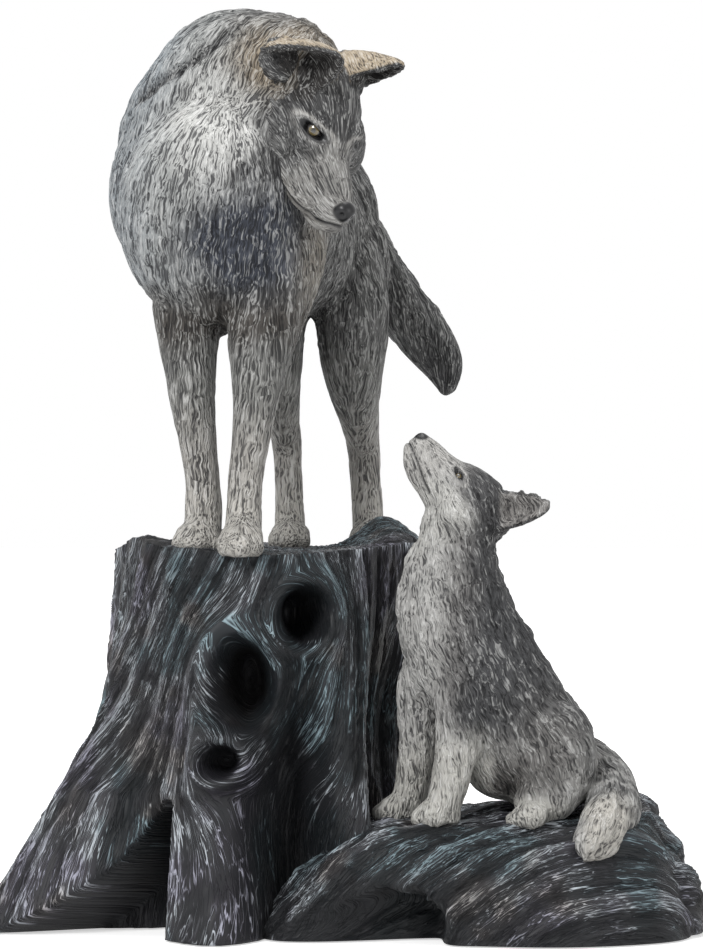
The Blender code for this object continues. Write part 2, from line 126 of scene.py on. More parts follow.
def smooth_rows(rows, steps=10):
    """Points on the Catmull-Rom curve through the rows, a few in each gap."""
    rows = np.array(rows, float)
    ends = np.vstack([2 * rows[0] - rows[1], rows, 2 * rows[-1] - rows[-2]])
    made = []
    for a, b, c, d in zip(ends, ends[1:], ends[2:], ends[3:]):
        for t in np.linspace(0, 1, steps, endpoint=False):
            made.append(0.5 * (2 * b + (c - a) * t + (2 * a - 5 * b + 4 * c - d) * t**2
                               + (3 * b - a - 3 * c + d) * t**3))
    return np.array(made + [rows[-1]])


def ring_faces(rings, sides):
    """Quads between rings, and a cap at each end as one polygon."""
    i, j = np.meshgrid(np.arange(rings - 1), np.arange(sides), indexing="ij")
    a = i * sides + j
    b = i * sides + (j + 1) % sides
    quads = np.stack([a, b, b + sides, a + sides], -1).reshape(-1, 4)
    start = list(range(sides))[::-1]
    end = list(range((rings - 1) * sides, rings * sides))
    return quads.tolist() + [start, end]


def loft(rows, across=(1, 0, 0), sides=40):
    """A closed limb: an ellipse at each row, its half width along `across`."""
    rows = smooth_rows(rows)
    centre, width, depth = rows[:, :3], np.maximum(rows[:, 3], 0.4), np.maximum(rows[:, 4], 0.4)
    along = unit(np.gradient(centre, axis=0))
    across = np.array(across, float)
    side = unit(across - (along @ across)[:, None] * along)
    up = np.cross(along, side)
    angle = np.linspace(0, 2 * math.pi, sides, endpoint=False)[:, None]
    points = (centre[:, None] + np.cos(angle) * (width[:, None] * side)[:, None]
              + np.sin(angle) * (depth[:, None] * up)[:, None])
    return points.reshape(-1, 3), ring_faces(len(rows), sides)


def ball(centre, radii, rings=16, sides=28):
    """An ellipsoid, for a muscle, a lump or a toe."""
    latitude = np.linspace(-math.pi / 2 + 0.08, math.pi / 2 - 0.08, rings)[:, None]
    angle = np.linspace(0, 2 * math.pi, sides, endpoint=False)[None]
    points = np.stack([np.cos(latitude) * np.cos(angle), np.cos(latitude) * np.sin(angle),
                       np.sin(latitude) + 0 * angle], -1)
    return points.reshape(-1, 3) * radii + centre, ring_faces(rings, sides)


def moved(shape, turn=None, offset=(0, 0, 0)):
    """The shape turned by a 3x3 matrix and shifted."""
    points, faces = shape
    if turn is not None:
        points = points @ np.array(turn).T
    return points + np.array(offset, float), faces


def paw(x, y, toward, width, length, height):
    """A paw of four toes. (x, y) is under the leg, and toward is the way it points."""
    ahead = unit(np.array([*toward, 0.0]))
    side = np.array([-ahead[1], ahead[0], 0.0])
    turn = np.stack([ahead, side, (0, 0, 1)], 1)
    shapes = [ball((length * 0.08, 0, height * 0.44), (length * 0.40, width * 0.43, height * 0.52))]
    for share, forward in ((-0.74, 0.18), (-0.26, 0.37), (0.26, 0.37), (0.74, 0.18)):
        toe = (length * forward, share * width * 0.5, height * 0.30)
        shapes.append(ball(toe, (length * 0.26, width * 0.155, height * 0.36)))
        knuckle = (length * (forward - 0.17), share * width * 0.46, height * 0.55)
        shapes.append(ball(knuckle, (length * 0.22, width * 0.135, height * 0.30)))
    return [moved(s, turn, offset=(x, y, 0)) for s in shapes]


def ear_ways(base, tip, opening):
    """An ear's length, and the ways to its tip, to its edge and out of its hollow."""
    length = np.linalg.norm(np.subtract(tip, base))
    tip_way = np.subtract(tip, base) / length
    edge = unit(np.cross(tip_way, opening))
    return length, tip_way, edge, np.cross(edge, tip_way)


def ear_section(up, width, cup):
    """Half the width at a share of the ear's height, and the hollow's depth for each half width."""
    half = width * 0.5 * np.clip(1 - np.clip(up, 0, 1) ** 2, 0.02, 1) ** 0.75
    return half, cup * (1 - 0.3 * up)


def ear(base, tip, opening, width, cup):
    """A cupped ear: a bent leaf with a wall, from the middle of its broad base to its tip.

    Its hollow looks along `opening`, and is `cup` times as deep as half its width.
    """
    length, tip_way, edge, hollow = ear_ways(base, tip, opening)
    wall = max(0.95, length * 0.05)
    up = np.linspace(0, 1, 24)[:, None]
    over = np.linspace(-1, 1, 33)[None]
    half, deep = ear_section(up, width, cup)
    across = (over * half)[..., None] * edge - (half * deep * (1 - over**2))[..., None] * hollow
    leaf = base + (up * length)[..., None] * tip_way + across
    thick = wall * unit(hollow - (2 * deep * over)[..., None] * edge)
    rings = np.concatenate([leaf + thick, (leaf - thick)[:, ::-1]], 1)
    return rings.reshape(-1, 3), ring_faces(rings.shape[0], rings.shape[1])


def frame_of(forward, up):
    """Columns are a head's forward, left and up in the figurine's frame."""
    forward = unit(np.array(forward, float))
    left = unit(np.cross(up, forward))
    return np.stack([forward, left, np.cross(forward, left)], 1)


# %% [markdown]
# ## From shapes to a skin
#
# A coarse voxel remesh joins the shapes and a smooth rounds the joins. A fine remesh
# then gives a mesh that is even enough to carve.

# %% Skins


def skin(shapes, cells, rounds=6):
    """All shapes as one even mesh in millimetres. Two remeshes at the cells' sizes make it."""
    points, faces, first = [], [], 0
    for shape_points, shape_faces in shapes:
        corners = [[first + i for i in face] for face in shape_faces]
        if not faces_outward(shape_points, shape_faces):
            corners = [face[::-1] for face in corners]
        points.append(shape_points)
        faces += corners
        first += len(shape_points)
    mesh = bpy.data.meshes.new("shapes")
    mesh.from_pydata(np.concatenate(points).tolist(), [], faces)
    maker = bpy.data.objects.new("shapes", mesh)
    bpy.context.scene.collection.objects.link(maker)
    for size, repeat in zip(cells, (rounds, FINE_ROUNDS)):
        remesh = maker.modifiers.new("skin", "REMESH")
        remesh.mode = "VOXEL"
        remesh.voxel_size = size
        soften = maker.modifiers.new("soften", "SMOOTH")
        soften.factor = 0.5
        soften.iterations = repeat
    graph = bpy.context.evaluated_depsgraph_get()
    made = bpy.data.meshes.new_from_object(maker.evaluated_get(graph))
    bpy.data.objects.remove(maker)
    return made


def faces_outward(points, faces):
    """True if the volume is positive: the sum of a . (b x c) + a . (c x d) over the quads."""
    quads = np.array([f for f in faces if len(f) == 4])
    a, b, c, d = (points[quads[:, i]] for i in range(4))
    return (a * (np.cross(b, c) + np.cross(c, d))).sum() > 0


def read_points(mesh):
    """The mesh's points and normals as two arrays."""
    points = np.empty(len(mesh.vertices) * 3, np.float32)
    mesh.vertices.foreach_get("co", points)
    normals = np.empty_like(points)
    mesh.vertices.foreach_get("normal", normals)
    return points.reshape(-1, 3), normals.reshape(-1, 3)


def store(mesh, name, values):
    """Keeps an array on the mesh's points for the materials: colour, vector or number."""
    kind = {1: "FLOAT", 3: "FLOAT_VECTOR", 4: "FLOAT_COLOR"}[1 if values.ndim == 1 else values.shape[1]]
    key = {"FLOAT": "value", "FLOAT_VECTOR": "vector", "FLOAT_COLOR": "color"}[kind]
    mesh.attributes.new(name, kind, "POINT").data.foreach_set(key, values.astype(np.float32).ravel())


def coloured(values):
    """The colours with an alpha of 1."""
    return np.column_stack([values, np.ones(len(values))])


def halves(mesh, place, way):
    """The mesh cut by a plane into two closed meshes. The one that `way` points to comes first."""
    made = []
    for sign in (-1, 1):
        form = bmesh.new()
        form.from_mesh(mesh)
        everything = form.verts[:] + form.edges[:] + form.faces[:]
        cut = bmesh.ops.bisect_plane(form, geom=everything, plane_co=place,
                                     plane_no=np.multiply(way, sign), clear_outer=True)
        rim = [part for part in cut["geom_cut"] if isinstance(part, bmesh.types.BMEdge)]
        for edge in rim:
            edge.smooth = False
        bmesh.ops.holes_fill(form, edges=rim, sides=0)
        half = bpy.data.meshes.new(mesh.name)
        form.to_mesh(half)
        form.free()
        made.append(half)
    return made


def piece(name, mesh, points, material):
    """The mesh at its real size, as a piece that rides on the casting's one body."""
    mesh.name = name
    mesh.vertices.foreach_set("co", (points * MM).astype(np.float32).ravel())
    mesh.polygons.foreach_set("use_smooth", np.ones(len(mesh.polygons), bool))
    mesh.materials.clear()
    mesh.materials.append(material)
    mesh.update()
    made = bpy.data.objects.new(name, mesh)
    bpy.context.scene.collection.objects.link(made)
    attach(made, "root")
    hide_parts(NODE)
    print(name, len(mesh.polygons), "faces")


# %% [markdown]
# ## Fur
#
# The hair lies along the limbs and sags. A few guide hairs, (place, direction, reach),
# turn it where it fans out, as on the chest. The directions of the lofts' axes and the
# guides are mixed, the near ones most, on a coarse grid of points. `strands` walks from
# each vertex along that flow, both ways, and averages noise over the walk: the result
# varies fast across the hair and slowly along it. That gives the locks and the coarse
# strands in the mesh: point + normal * depth * (2 * height - 1). The way the hair lies is
# stored for the finer strands of the paint.

# %% Fur
# A guide hair's weight beside an axis's, and the distance between the flow's grid points
GUIDE_PULL = 3.0
GRID = 3.0


def flow_sources(lofts, guides=()):
    """Rows of place, direction, reach and weight along the axes. A sign of -1 reverses one."""
    rows = []
    for table, sign in lofts:
        curve = smooth_rows(table, 4)
        along = unit(np.gradient(curve[:, :3], axis=0)) * sign
        reach = np.maximum(curve[:, 3:5].mean(1), 3)
        rows.append(np.column_stack([curve[:, :3], along, reach, np.ones(len(curve))]))
    for place, way, reach in guides:
        rows.append(np.array([[*place, *unit(np.array(way, float)), reach, GUIDE_PULL]]))
    return np.concatenate(rows)


def flow_grid(points, sources, sag, wave, lump=9.0):
    """A function that gives the unit direction of the hair at any point near the mesh."""
    low = points.min(0) - 3 * GRID
    count = np.ceil((points.max(0) + 3 * GRID - low) / GRID).astype(int) + 1
    steps = [low[k] + GRID * np.arange(count[k]) for k in range(3)]
    nodes = np.stack(np.meshgrid(*steps, indexing="ij"), -1).reshape(-1, 3).astype(np.float32)
    place, way = sources[:, :3].astype(np.float32), sources[:, 3:6].astype(np.float32)
    reach, pull = sources[:, 6].astype(np.float32), sources[:, 7].astype(np.float32)
    apart = (nodes**2).sum(1)[:, None] + (place**2).sum(1)[None] - 2 * nodes @ place.T
    weight = pull * np.exp(-np.clip(apart, 0, None) / (1.3 * reach**2)) + 1e-9
    mixed = unit((weight / weight.sum(1, keepdims=True)) @ way)
    mixed[:, 2] -= sag
    for axis in range(3):
        mixed[:, axis] += wave * noise(nodes, lump, 3 + axis)
    return lookup(unit(mixed).reshape(*count, 3), low, GRID)


def lookup(table, low, size):
    """A function that blends a grid of directions at any points."""
    limit = np.array(table.shape[:3]) - 1.001

    def way_at(p):
        cell = np.clip((p - low) / size, 0, limit)
        first = cell.astype(int)
        f = (cell - first).astype(np.float32)
        total = 0.0
        for (i, j, k), share in corner_shares(f):
            total = total + share[:, None] * table[first[:, 0] + i, first[:, 1] + j, first[:, 2] + k]
        return unit(total + 1e-9)

    return way_at


def laid_flat(points, normals, way_at, rest, size=2.0):
    """The flow turned into the skin's plane: way - normal * (way . normal). `rest` pulls gently."""
    way = way_at(points) + rest
    flat = unit(way - normals * (way * normals).sum(1, keepdims=True) + 1e-9)
    low = points.min(0) - 2 * size
    count = np.ceil((points.max(0) + 2 * size - low) / size).astype(int) + 1
    cell = (points - low) / size
    first = cell.astype(int)
    f = cell - first
    table = np.zeros((count.prod(), 3))
    for corner, share in corner_shares(f):
        place = np.ravel_multi_index(tuple((first + corner).T), tuple(count))
        for axis in range(3):
            table[:, axis] += np.bincount(place, share * flat[:, axis], len(table))
    return lookup(table.reshape(*count, 3).astype(np.float32), low, size)


def strands(points, way_at, cell, reach, steps, layer):
    """Noise averaged along the flow, scaled so that its usual size is 1."""
    total = np.zeros(len(points), np.float32)
    for sign in (-1, 1):
        walker = points.astype(np.float32)
        for k in range(steps):
            total += (1 - k / steps) * noise(walker, cell, layer)
            walker = walker + (sign * reach / steps) * way_at(walker)
    return total / total.std()


def calmed(height, share):
    """The relief drawn towards its middle by a share, where the fur is short."""
    return 0.52 + (height - 0.52) * (1 - share)


def carve(points, normals, way_at, depth, cell, reach):
    """Hair relief: moved points, their height 0..1 and the way the hair lies."""
    strand = step(-1.1, 1.1, strands(points, way_at, cell, reach, 9, 1))
    lock = step(-1.3, 1.3, strands(points, way_at, 2.3 * cell, 1.5 * reach, 8, 5))
    height = 0.5 * strand + 0.5 * lock
    lifted = points + normals * (depth * (height - 0.5) * 2)[:, None]
    return lifted, np.clip(height, 0, 1), way_at(points)


# %% [markdown]
# ## Materials
#
# The real figurine is near-black or grey resin, washed dark in its grooves and then
# dry-brushed: a nearly dry brush leaves pale paint only on what stands up. Colours and
# relief are stored on the meshes. One node group does the washing and brushing of fur and
# bark. Strokes that are too fine for a mesh are mixed into the relief that it is given.

# %% Node helpers


def feed(tree, slot, value):
    """Sets a socket to a number or numbers, or links another socket to it."""
    if isinstance(value, (int, float, tuple)):
        slot.default_value = value
    else:
        tree.links.new(value, slot)


def maths(tree, operation, a, b=0.0):
    """A Math node. Each input is a socket or a number."""
    node = tree.nodes.new("ShaderNodeMath")
    node.operation = operation
    feed(tree, node.inputs[0], a)
    feed(tree, node.inputs[1], b)
    return node.outputs[0]


def mixed_colour(tree, share, a, b, blend="MIX"):
    """A Mix node for colours. The share is a socket or a number, a and b are sockets or colours."""
    node = tree.nodes.new("ShaderNodeMix")
    node.data_type = "RGBA"
    node.blend_type = blend
    feed(tree, node.inputs[0], share)
    for slot, value in ((node.inputs[6], a), (node.inputs[7], b)):
        feed(tree, slot, (*value, 1) if isinstance(value, tuple) else value)
    return node.outputs[2]


def attribute(tree, name, output="Fac"):
    """What the mesh stores under a name."""
    node = tree.nodes.new("ShaderNodeAttribute")
    node.attribute_name = name
    return node.outputs[output]


def smooth_range(tree, value, low, high):
    """0 below low, 1 above high. Each limit is a socket or a number."""
    node = tree.nodes.new("ShaderNodeMapRange")
    node.interpolation_type = "SMOOTHSTEP"
    for name, given in (("Value", value), ("From Min", low), ("From Max", high)):
        feed(tree, node.inputs[name], given)
    return node.outputs["Result"]


# %% [markdown]
# Wash and dry brush: share = smooth step of the relief between two limits. Below 0 the
# paint gives way to the wash, and from "Brush at" to "Brush full" to the brushed colour.

# %% Wash and dry brush


def brush_group():
    """Relief below 0 is washed dark, and relief above 0 is brushed pale."""
    tree = bpy.data.node_groups.new("wash_and_brush", "ShaderNodeTree")
    for name, kind in (("Paint", "NodeSocketColor"), ("Washed", "NodeSocketColor"),
                       ("Brushed", "NodeSocketColor"), ("Relief", "NodeSocketFloat"),
                       ("Wash at", "NodeSocketFloat"), ("Brush at", "NodeSocketFloat"),
                       ("Brush full", "NodeSocketFloat")):
        tree.interface.new_socket(name, in_out="INPUT", socket_type=kind)
    tree.interface.new_socket("Colour", in_out="OUTPUT", socket_type="NodeSocketColor")
    given = tree.nodes.new("NodeGroupInput").outputs
    made = tree.nodes.new("NodeGroupOutput").inputs["Colour"]
    flat = smooth_range(tree, given["Relief"], given["Wash at"], 0.0)
    top = smooth_range(tree, given["Relief"], given["Brush at"], given["Brush full"])
    washed = mixed_colour(tree, flat, given["Washed"], given["Paint"])
    tree.links.new(mixed_colour(tree, top, washed, given["Brushed"]), made)
    return tree


BRUSH = brush_group()


def brushed(tree, paint, washed, pale, relief, limits):
    """The paint after wash and dry brush. `limits` are wash at, brush at and brush full."""
    node = tree.nodes.new("ShaderNodeGroup")
    node.node_tree = BRUSH
    for name, socket in (("Paint", paint), ("Washed", washed), ("Brushed", pale), ("Relief", relief)):
        tree.links.new(socket, node.inputs[name])
    for name, value in zip(("Wash at", "Brush at", "Brush full"), limits):
        node.inputs[name].default_value = value
    return node.outputs[0]


def raised(tree, height, distance):
    """Bumps: the height times a distance in millimetres."""
    node = tree.nodes.new("ShaderNodeBump")
    node.inputs["Distance"].default_value = distance * MM
    tree.links.new(height, node.inputs["Height"])
    return node.outputs["Normal"]


def new_paint(name, roughness, specular=0.35):
    """A new material, its tree and its shader."""
    material = bpy.data.materials.new(name)
    material.use_nodes = True
    shader = material.node_tree.nodes["Principled BSDF"]
    shader.inputs["Roughness"].default_value = roughness
    shader.inputs["Specular IOR Level"].default_value = specular
    return material, material.node_tree, shader


# %% [markdown]
# Fur strands finer than the mesh are noise, squeezed along the way the hair lies and cut up
# into tufts, so that no strand runs on for ever.

# %% Fur paint


def vectors(tree, operation, a, b=(0, 0, 0), output="Vector"):
    """A Vector Math node. Each input is a socket or three numbers."""
    node = tree.nodes.new("ShaderNodeVectorMath")
    node.operation = operation
    feed(tree, node.inputs[0], a)
    feed(tree, node.inputs[1], b)
    return node.outputs[output]


def scaled(tree, vector, share):
    """A vector times a number."""
    node = tree.nodes.new("ShaderNodeVectorMath")
    node.operation = "SCALE"
    feed(tree, node.inputs[0], vector)
    feed(tree, node.inputs["Scale"], share)
    return node.outputs[0]


def noise_node(tree, vector, scale, detail, output=0, roughness=0.5, distortion=0.0):
    """A Noise Texture node: output 0 is a number in 0..1, output 1 a colour."""
    node = tree.nodes.new("ShaderNodeTexNoise")
    for name, value in (("Vector", vector), ("Scale", scale), ("Detail", detail),
                        ("Roughness", roughness), ("Distortion", distortion)):
        feed(tree, node.inputs[name], value)
    return node.outputs[output]


# How far each tuft's noise lies from its neighbour's, the shift of the second layer of tufts,
# half the width of the crossfade between the layers, and the strands' contrast
TUFT_STEP = 7.3
LAYER_SHIFT = 53.7
CROSSFADE = 0.25
STRAND_CONTRAST = 5.0


def tuft(tree, place, way, given, shift):
    """Strands of one layer of tufts, and the distance from the tuft's middle.

    A tuft is a Voronoi cell. Inside it the noise is squeezed along the lie of the hair:
    q = (p - c) - way * ((p - c) . way) * (1 - 1 / stretch) + a step of its own.
    """
    shifted = vectors(tree, "ADD", place, (shift, shift, shift))
    cells = tree.nodes.new("ShaderNodeTexVoronoi")
    tree.links.new(shifted, cells.inputs["Vector"])
    tree.links.new(maths(tree, "DIVIDE", 1.0, given["Tuft"]), cells.inputs["Scale"])
    centre = cells.outputs["Position"]
    away = vectors(tree, "SUBTRACT", shifted, centre)
    along = vectors(tree, "DOT_PRODUCT", away, way, "Value")
    squeeze = maths(tree, "SUBTRACT", 1.0, maths(tree, "DIVIDE", 1.0, given["Stretch"]))
    lost = scaled(tree, way, maths(tree, "MULTIPLY", along, squeeze))
    q = vectors(tree, "ADD", vectors(tree, "SUBTRACT", away, lost), scaled(tree, centre, TUFT_STEP))
    fine = noise_node(tree, q, maths(tree, "DIVIDE", 1.0, given["Strand"]), 1.5)
    return fine, cells.outputs["Distance"]


def hair_group():
    """Strands, mostly in -1..1. Two layers of tufts are crossfaded where one has its borders."""
    tree = bpy.data.node_groups.new("tufts_of_hair", "ShaderNodeTree")
    tree.interface.new_socket("Way", in_out="INPUT", socket_type="NodeSocketVector")
    for name in ("Tuft", "Strand", "Stretch", "Wave"):
        tree.interface.new_socket(name, in_out="INPUT", socket_type="NodeSocketFloat")
    tree.interface.new_socket("Strands", in_out="OUTPUT", socket_type="NodeSocketFloat")
    given = tree.nodes.new("NodeGroupInput").outputs
    made = tree.nodes.new("NodeGroupOutput").inputs["Strands"]
    place = scaled(tree, tree.nodes.new("ShaderNodeTexCoord").outputs["Object"], 1 / MM)
    bend = vectors(tree, "SUBTRACT", noise_node(tree, place, 0.22, 1.0, 1), (0.5, 0.5, 0.5))
    place = vectors(tree, "ADD", place, scaled(tree, bend, given["Wave"]))
    way = vectors(tree, "NORMALIZE", given["Way"])
    one, one_away = tuft(tree, place, way, given, 0.0)
    two, two_away = tuft(tree, place, way, given, LAYER_SHIFT)
    share = smooth_range(tree, maths(tree, "SUBTRACT", two_away, one_away), -CROSSFADE, CROSSFADE)
    apart = maths(tree, "MULTIPLY", maths(tree, "SUBTRACT", one, two), share)
    both = maths(tree, "ADD", two, apart)
    tree.links.new(maths(tree, "MULTIPLY", maths(tree, "SUBTRACT", both, 0.5), STRAND_CONTRAST), made)
    return tree


HAIR = hair_group()


# The share of the mesh's own relief in what is brushed, the paint in the grooves, the pale
# brush and its share, where wash and brush begin and end, and the roughness of bare and furry
MESH_SHARE = 0.55
GROOVE_TINT = (0.20, 0.20, 0.21)
PALE_TINT = (0.85, 0.85, 0.83)
PALE_SHARE = 0.32
FUR_LIMITS = (-0.60, 0.10, 0.66)
BARE_ROUGHNESS, FURRY_ROUGHNESS = 0.34, 0.64


def fur_paint(name, sizes, strand_share, depth):
    """Resin fur: colour, height and the lie of the hair come from the mesh."""
    material, tree, shader = new_paint(name, 0.6)
    hair = tree.nodes.new("ShaderNodeGroup")
    hair.node_tree = HAIR
    tree.links.new(attribute(tree, "way", "Vector"), hair.inputs["Way"])
    for key, value in zip(("Tuft", "Strand", "Stretch", "Wave"), sizes):
        hair.inputs[key].default_value = value
    bare = attribute(tree, "bare")
    furry = maths(tree, "SUBTRACT", 1.0, bare)
    strokes = maths(tree, "MULTIPLY", hair.outputs[0], furry)
    height = maths(tree, "MULTIPLY", maths(tree, "SUBTRACT", attribute(tree, "height"), 0.5), furry)
    height = maths(tree, "MULTIPLY", height, MESH_SHARE)
    relief = maths(tree, "ADD", height, maths(tree, "MULTIPLY", strokes, strand_share))
    paint = attribute(tree, "paint", "Color")
    washed = mixed_colour(tree, 1.0, paint, GROOVE_TINT, "MULTIPLY")
    pale = mixed_colour(tree, PALE_SHARE, paint, PALE_TINT, "SCREEN")
    colour = brushed(tree, paint, washed, pale, relief, FUR_LIMITS)
    tree.links.new(mixed_colour(tree, bare, colour, paint), shader.inputs["Base Color"])
    tree.links.new(raised(tree, strokes, depth), shader.inputs["Normal"])
    rough = maths(tree, "MULTIPLY", furry, FURRY_ROUGHNESS - BARE_ROUGHNESS)
    tree.links.new(maths(tree, "ADD", rough, BARE_ROUGHNESS), shader.inputs["Roughness"])
    return material


# The sizes are the tuft, the strand, how long a strand is for its width, and the wave.
FUR = fur_paint("adult_fur", (9.0, 0.52, 20.0, 2.0), 0.95, 0.34)
FACE_FUR = fur_paint("face_fur", (6.0, 0.36, 14.0, 0.3), 0.75, 0.16)
PUP_FUR = fur_paint("pup_fur", (4.5, 0.58, 10.0, 2.4), 0.62, 0.36)

# %% [markdown]
# Bark is near-black resin. Thin pale fibres follow its grain, and the brush reaches the
# ribs more than the grooves, more in some patches than in others, and no hollow. Hollows,
# knot holes and the rock's cave are also painted darker, as shade.

# %% Bark paint
# Fibres come as (scale, detail, width, share), from broad to fine.
FIBRES = (
    (0.42, 3.0, 0.017, 1.0),
    (0.95, 2.0, 0.030, 0.8),
    (2.0, 1.0, 0.045, 0.45),
)
PATCH_SCALE = 90.0
BARK_GROUND = (0.055, 0.050, 0.055)
# The black of the wash in the grooves, and of the painted shade in the hollows
BARK_HOLLOW = (0.022, 0.022, 0.024)
BARK_LIMITS = (-0.12, 0.0, 0.34)


def fibres(tree, grain, scale, detail, width):
    """Thin bright lines along the grain: 1 on the level line of a noise, 0 away from it."""
    level = noise_node(tree, grain, scale, detail, roughness=0.6, distortion=0.25)
    away = maths(tree, "ABSOLUTE", maths(tree, "SUBTRACT", level, 0.5))
    return smooth_range(tree, away, width, 0.0)


def bark_paint(name, roughness):
    """Near-black resin whose ridges and fibres are dry-brushed with the stored hue."""
    material, tree, shader = new_paint(name, roughness, 0.3)
    grain = attribute(tree, "grain", "Vector")
    lines = 0.0
    for scale, detail, width, share in FIBRES:
        layer = maths(tree, "MULTIPLY", fibres(tree, grain, scale, detail, width), share)
        lines = maths(tree, "MAXIMUM", layer, lines)
    place = tree.nodes.new("ShaderNodeTexCoord").outputs["Object"]
    patchy = noise_node(tree, place, PATCH_SCALE, 2.0)
    patch = maths(tree, "ADD", smooth_range(tree, patchy, 0.30, 0.60), 0.20)
    top = smooth_range(tree, attribute(tree, "height"), 0.42, 0.80)
    # Painted shade: where the open share falls, the ground darkens to the hollow black and the brush fades.
    lit = attribute(tree, "open")
    share = maths(tree, "ADD", maths(tree, "MULTIPLY", top, 0.60), 0.40)
    brush = maths(tree, "MULTIPLY", maths(tree, "MULTIPLY", lines, patch), share)
    relief = maths(tree, "ADD", brush, maths(tree, "MULTIPLY", top, 0.12))
    relief = maths(tree, "SUBTRACT", maths(tree, "MULTIPLY", relief, lit), 0.12)
    hue = attribute(tree, "paint", "Color")
    ground = mixed_colour(tree, 1.0, hue, BARK_GROUND, "MULTIPLY")
    washed = mixed_colour(tree, 1.0, hue, BARK_HOLLOW, "MULTIPLY")
    dim = mixed_colour(tree, lit, washed, ground)
    tree.links.new(brushed(tree, dim, washed, hue, relief, BARK_LIMITS), shader.inputs["Base Color"])
    tree.links.new(raised(tree, lines, 0.40), shader.inputs["Normal"])
    return material


BARK = bark_paint("bark_paint", 0.55)

# %% [markdown]
# The eyes are painted and shine under clear varnish.

# %% Eye paint


def eye_paint(name):
    """Painted eye under clear varnish."""
    material, tree, shader = new_paint(name, 0.25, 0.5)
    shader.inputs["Coat Weight"].default_value = 1.0
    shader.inputs["Coat Roughness"].default_value = 0.06
    tree.links.new(attribute(tree, "paint", "Color"), shader.inputs["Base Color"])
    return material


EYE = eye_paint("eye_paint")

# %% [markdown]
# ## The stump
#
# The trunk is a radius for each angle and height. Angle 0 is +X and 270 is the front. To
# the trunk's own radius come roots, ribs and fine bark; hollows, knots and the arch go off.
# Bark lines follow the level lines of a stream function, which part round the knot
# holes as water parts round a stone.

# %% The stump
STUMP_X, STUMP_Y = -24.5, 8.0
STUMP_TOP_HALF_WIDTH, STUMP_TOP_HALF_DEPTH = 42.5, 54.0
# A root is (angle, reach, half angle, height).
ROOTS = (
    (192, 28, 22, 62),
    (216, 26, 18, 84),
    (259, 17, 11, 96),
    (299, 10, 9, 110),
    (15, 18, 16, 60),
    (62, 20, 15, 70),
    (108, 22, 15, 74),
    (150, 22, 14, 60),
)
# A hollow is (angle, height, half angle, half height, depth).
HOLLOWS = (
    (279, 28, 10, 34, 22),
    (322, 40, 22, 36, 9),
    (38, 8, 10, 26, 14),
    (86, 6, 10, 24, 14),
    (130, 6, 9, 26, 14),
    (345, 10, 9, 24, 12),
)
# Only the first two hollows are deep enough for the light to fail in them.
DARK_HOLLOWS = 2
# A knot hole is (angle, height, half angle, half height, depth, rim).
KNOTS = (
    (265.5, 68, 9.0, 14.0, 22, 4.5),
    (282.5, 87, 8.0, 8.5, 20, 3.5),
    (261, 48, 5.0, 5.0, 8, 6.0),
    (60, 70, 9.0, 10.0, 12, 4.0),
    (140, 50, 7.0, 8.0, 9, 4.0),
)
# The arch at the front left: its roof climbs from one angle to the other.
ARCH_LOW, ARCH_HIGH = 210.0, 244.0
ARCH_RISE, ARCH_DEPTH = 37.0, 30.0
# Where the grain leans at the front left: (angle, half angle, millimetres along per one up)
LEAN_AT, LEAN_SPREAD, LEAN = 232, 40, 0.62
# A lump on the worn top is (x, y, half width, half depth, height).
TOP_LUMPS = (
    (-57, -18, 9, 13, 3.5),
    (9, 27, 9, 14, 7.5),
    (12, 5, 6, 11, 4.0),
    (-40, 56, 12, 6, 4.0),
    (-30, -46, 12, 8, -1.2),
)
# Bark: millimetres of arc per degree, the distance between ribs and their height, and the
# height of the finer bark and of the worn top's grain
ARC = 0.87
RIB_PITCH = 8.6
RIB_RISE = 2.6
FINE_RISE = 1.9
WORN_RISE = 1.1
# The radius on which the level lines close after one turn
ROUND = 360 * ARC / (2 * math.pi)


def turned_from(angle, centre):
    """Degrees from centre, wrapped to the nearer way round."""
    return (angle - centre + 180) % 360 - 180


def oval(angle, height, centre, middle, spread, tall):
    """The square of how far a place is from an oval's middle, where its rim is 1."""
    return (turned_from(angle, centre) / spread) ** 2 + ((height - middle) / tall) ** 2


def arch_roof(angle):
    """The height of the arch's roof at each angle."""
    return ARCH_RISE * np.clip((angle - ARCH_LOW) / (ARCH_HIGH - ARCH_LOW), 0, 1) ** 1.4


def stump_form(angle, height):
    """Trunk plus roots, less hollows and knot holes. Each knot has a raised rim."""
    share = height / STUMP_HEIGHT
    rad = np.radians(angle)
    top = 1 / np.sqrt((np.cos(rad) / STUMP_TOP_HALF_WIDTH) ** 2
                      + (np.sin(rad) / STUMP_TOP_HALF_DEPTH) ** 2)
    radius = top * (1.0 + 0.04 * np.sin(3 * rad + 0.5)) + 6.0 * (1 - share) ** 1.3
    for centre, reach, spread, rise in ROOTS:
        fade = np.clip(1 - height / rise, 0, 1) ** 1.15
        radius += reach * bump(turned_from(angle, centre), spread) * fade
    for *place, depth in HOLLOWS:
        radius -= depth * np.exp(-oval(angle, height, *place) ** 1.5)
    for *place, depth, rim in KNOTS:
        near = np.sqrt(oval(angle, height, *place))
        radius += rim * bump(near - 1.25, 0.45) - depth * (1 - step(0.4, 1.05, near))
    under = step(0, 4, arch_roof(angle) - height)
    radius -= ARCH_DEPTH * under * step(ARCH_HIGH + 4, ARCH_HIGH, angle)
    return np.maximum(radius, 12)


def rib(stream, pitch):
    """0 in a groove and 1 on a rib. The grooves are narrow and each pair of ribs differs."""
    wave = np.abs(np.cos(math.pi * stream / pitch)) ** 0.8
    return wave * (0.78 + 0.22 * np.sin(0.37 * stream))


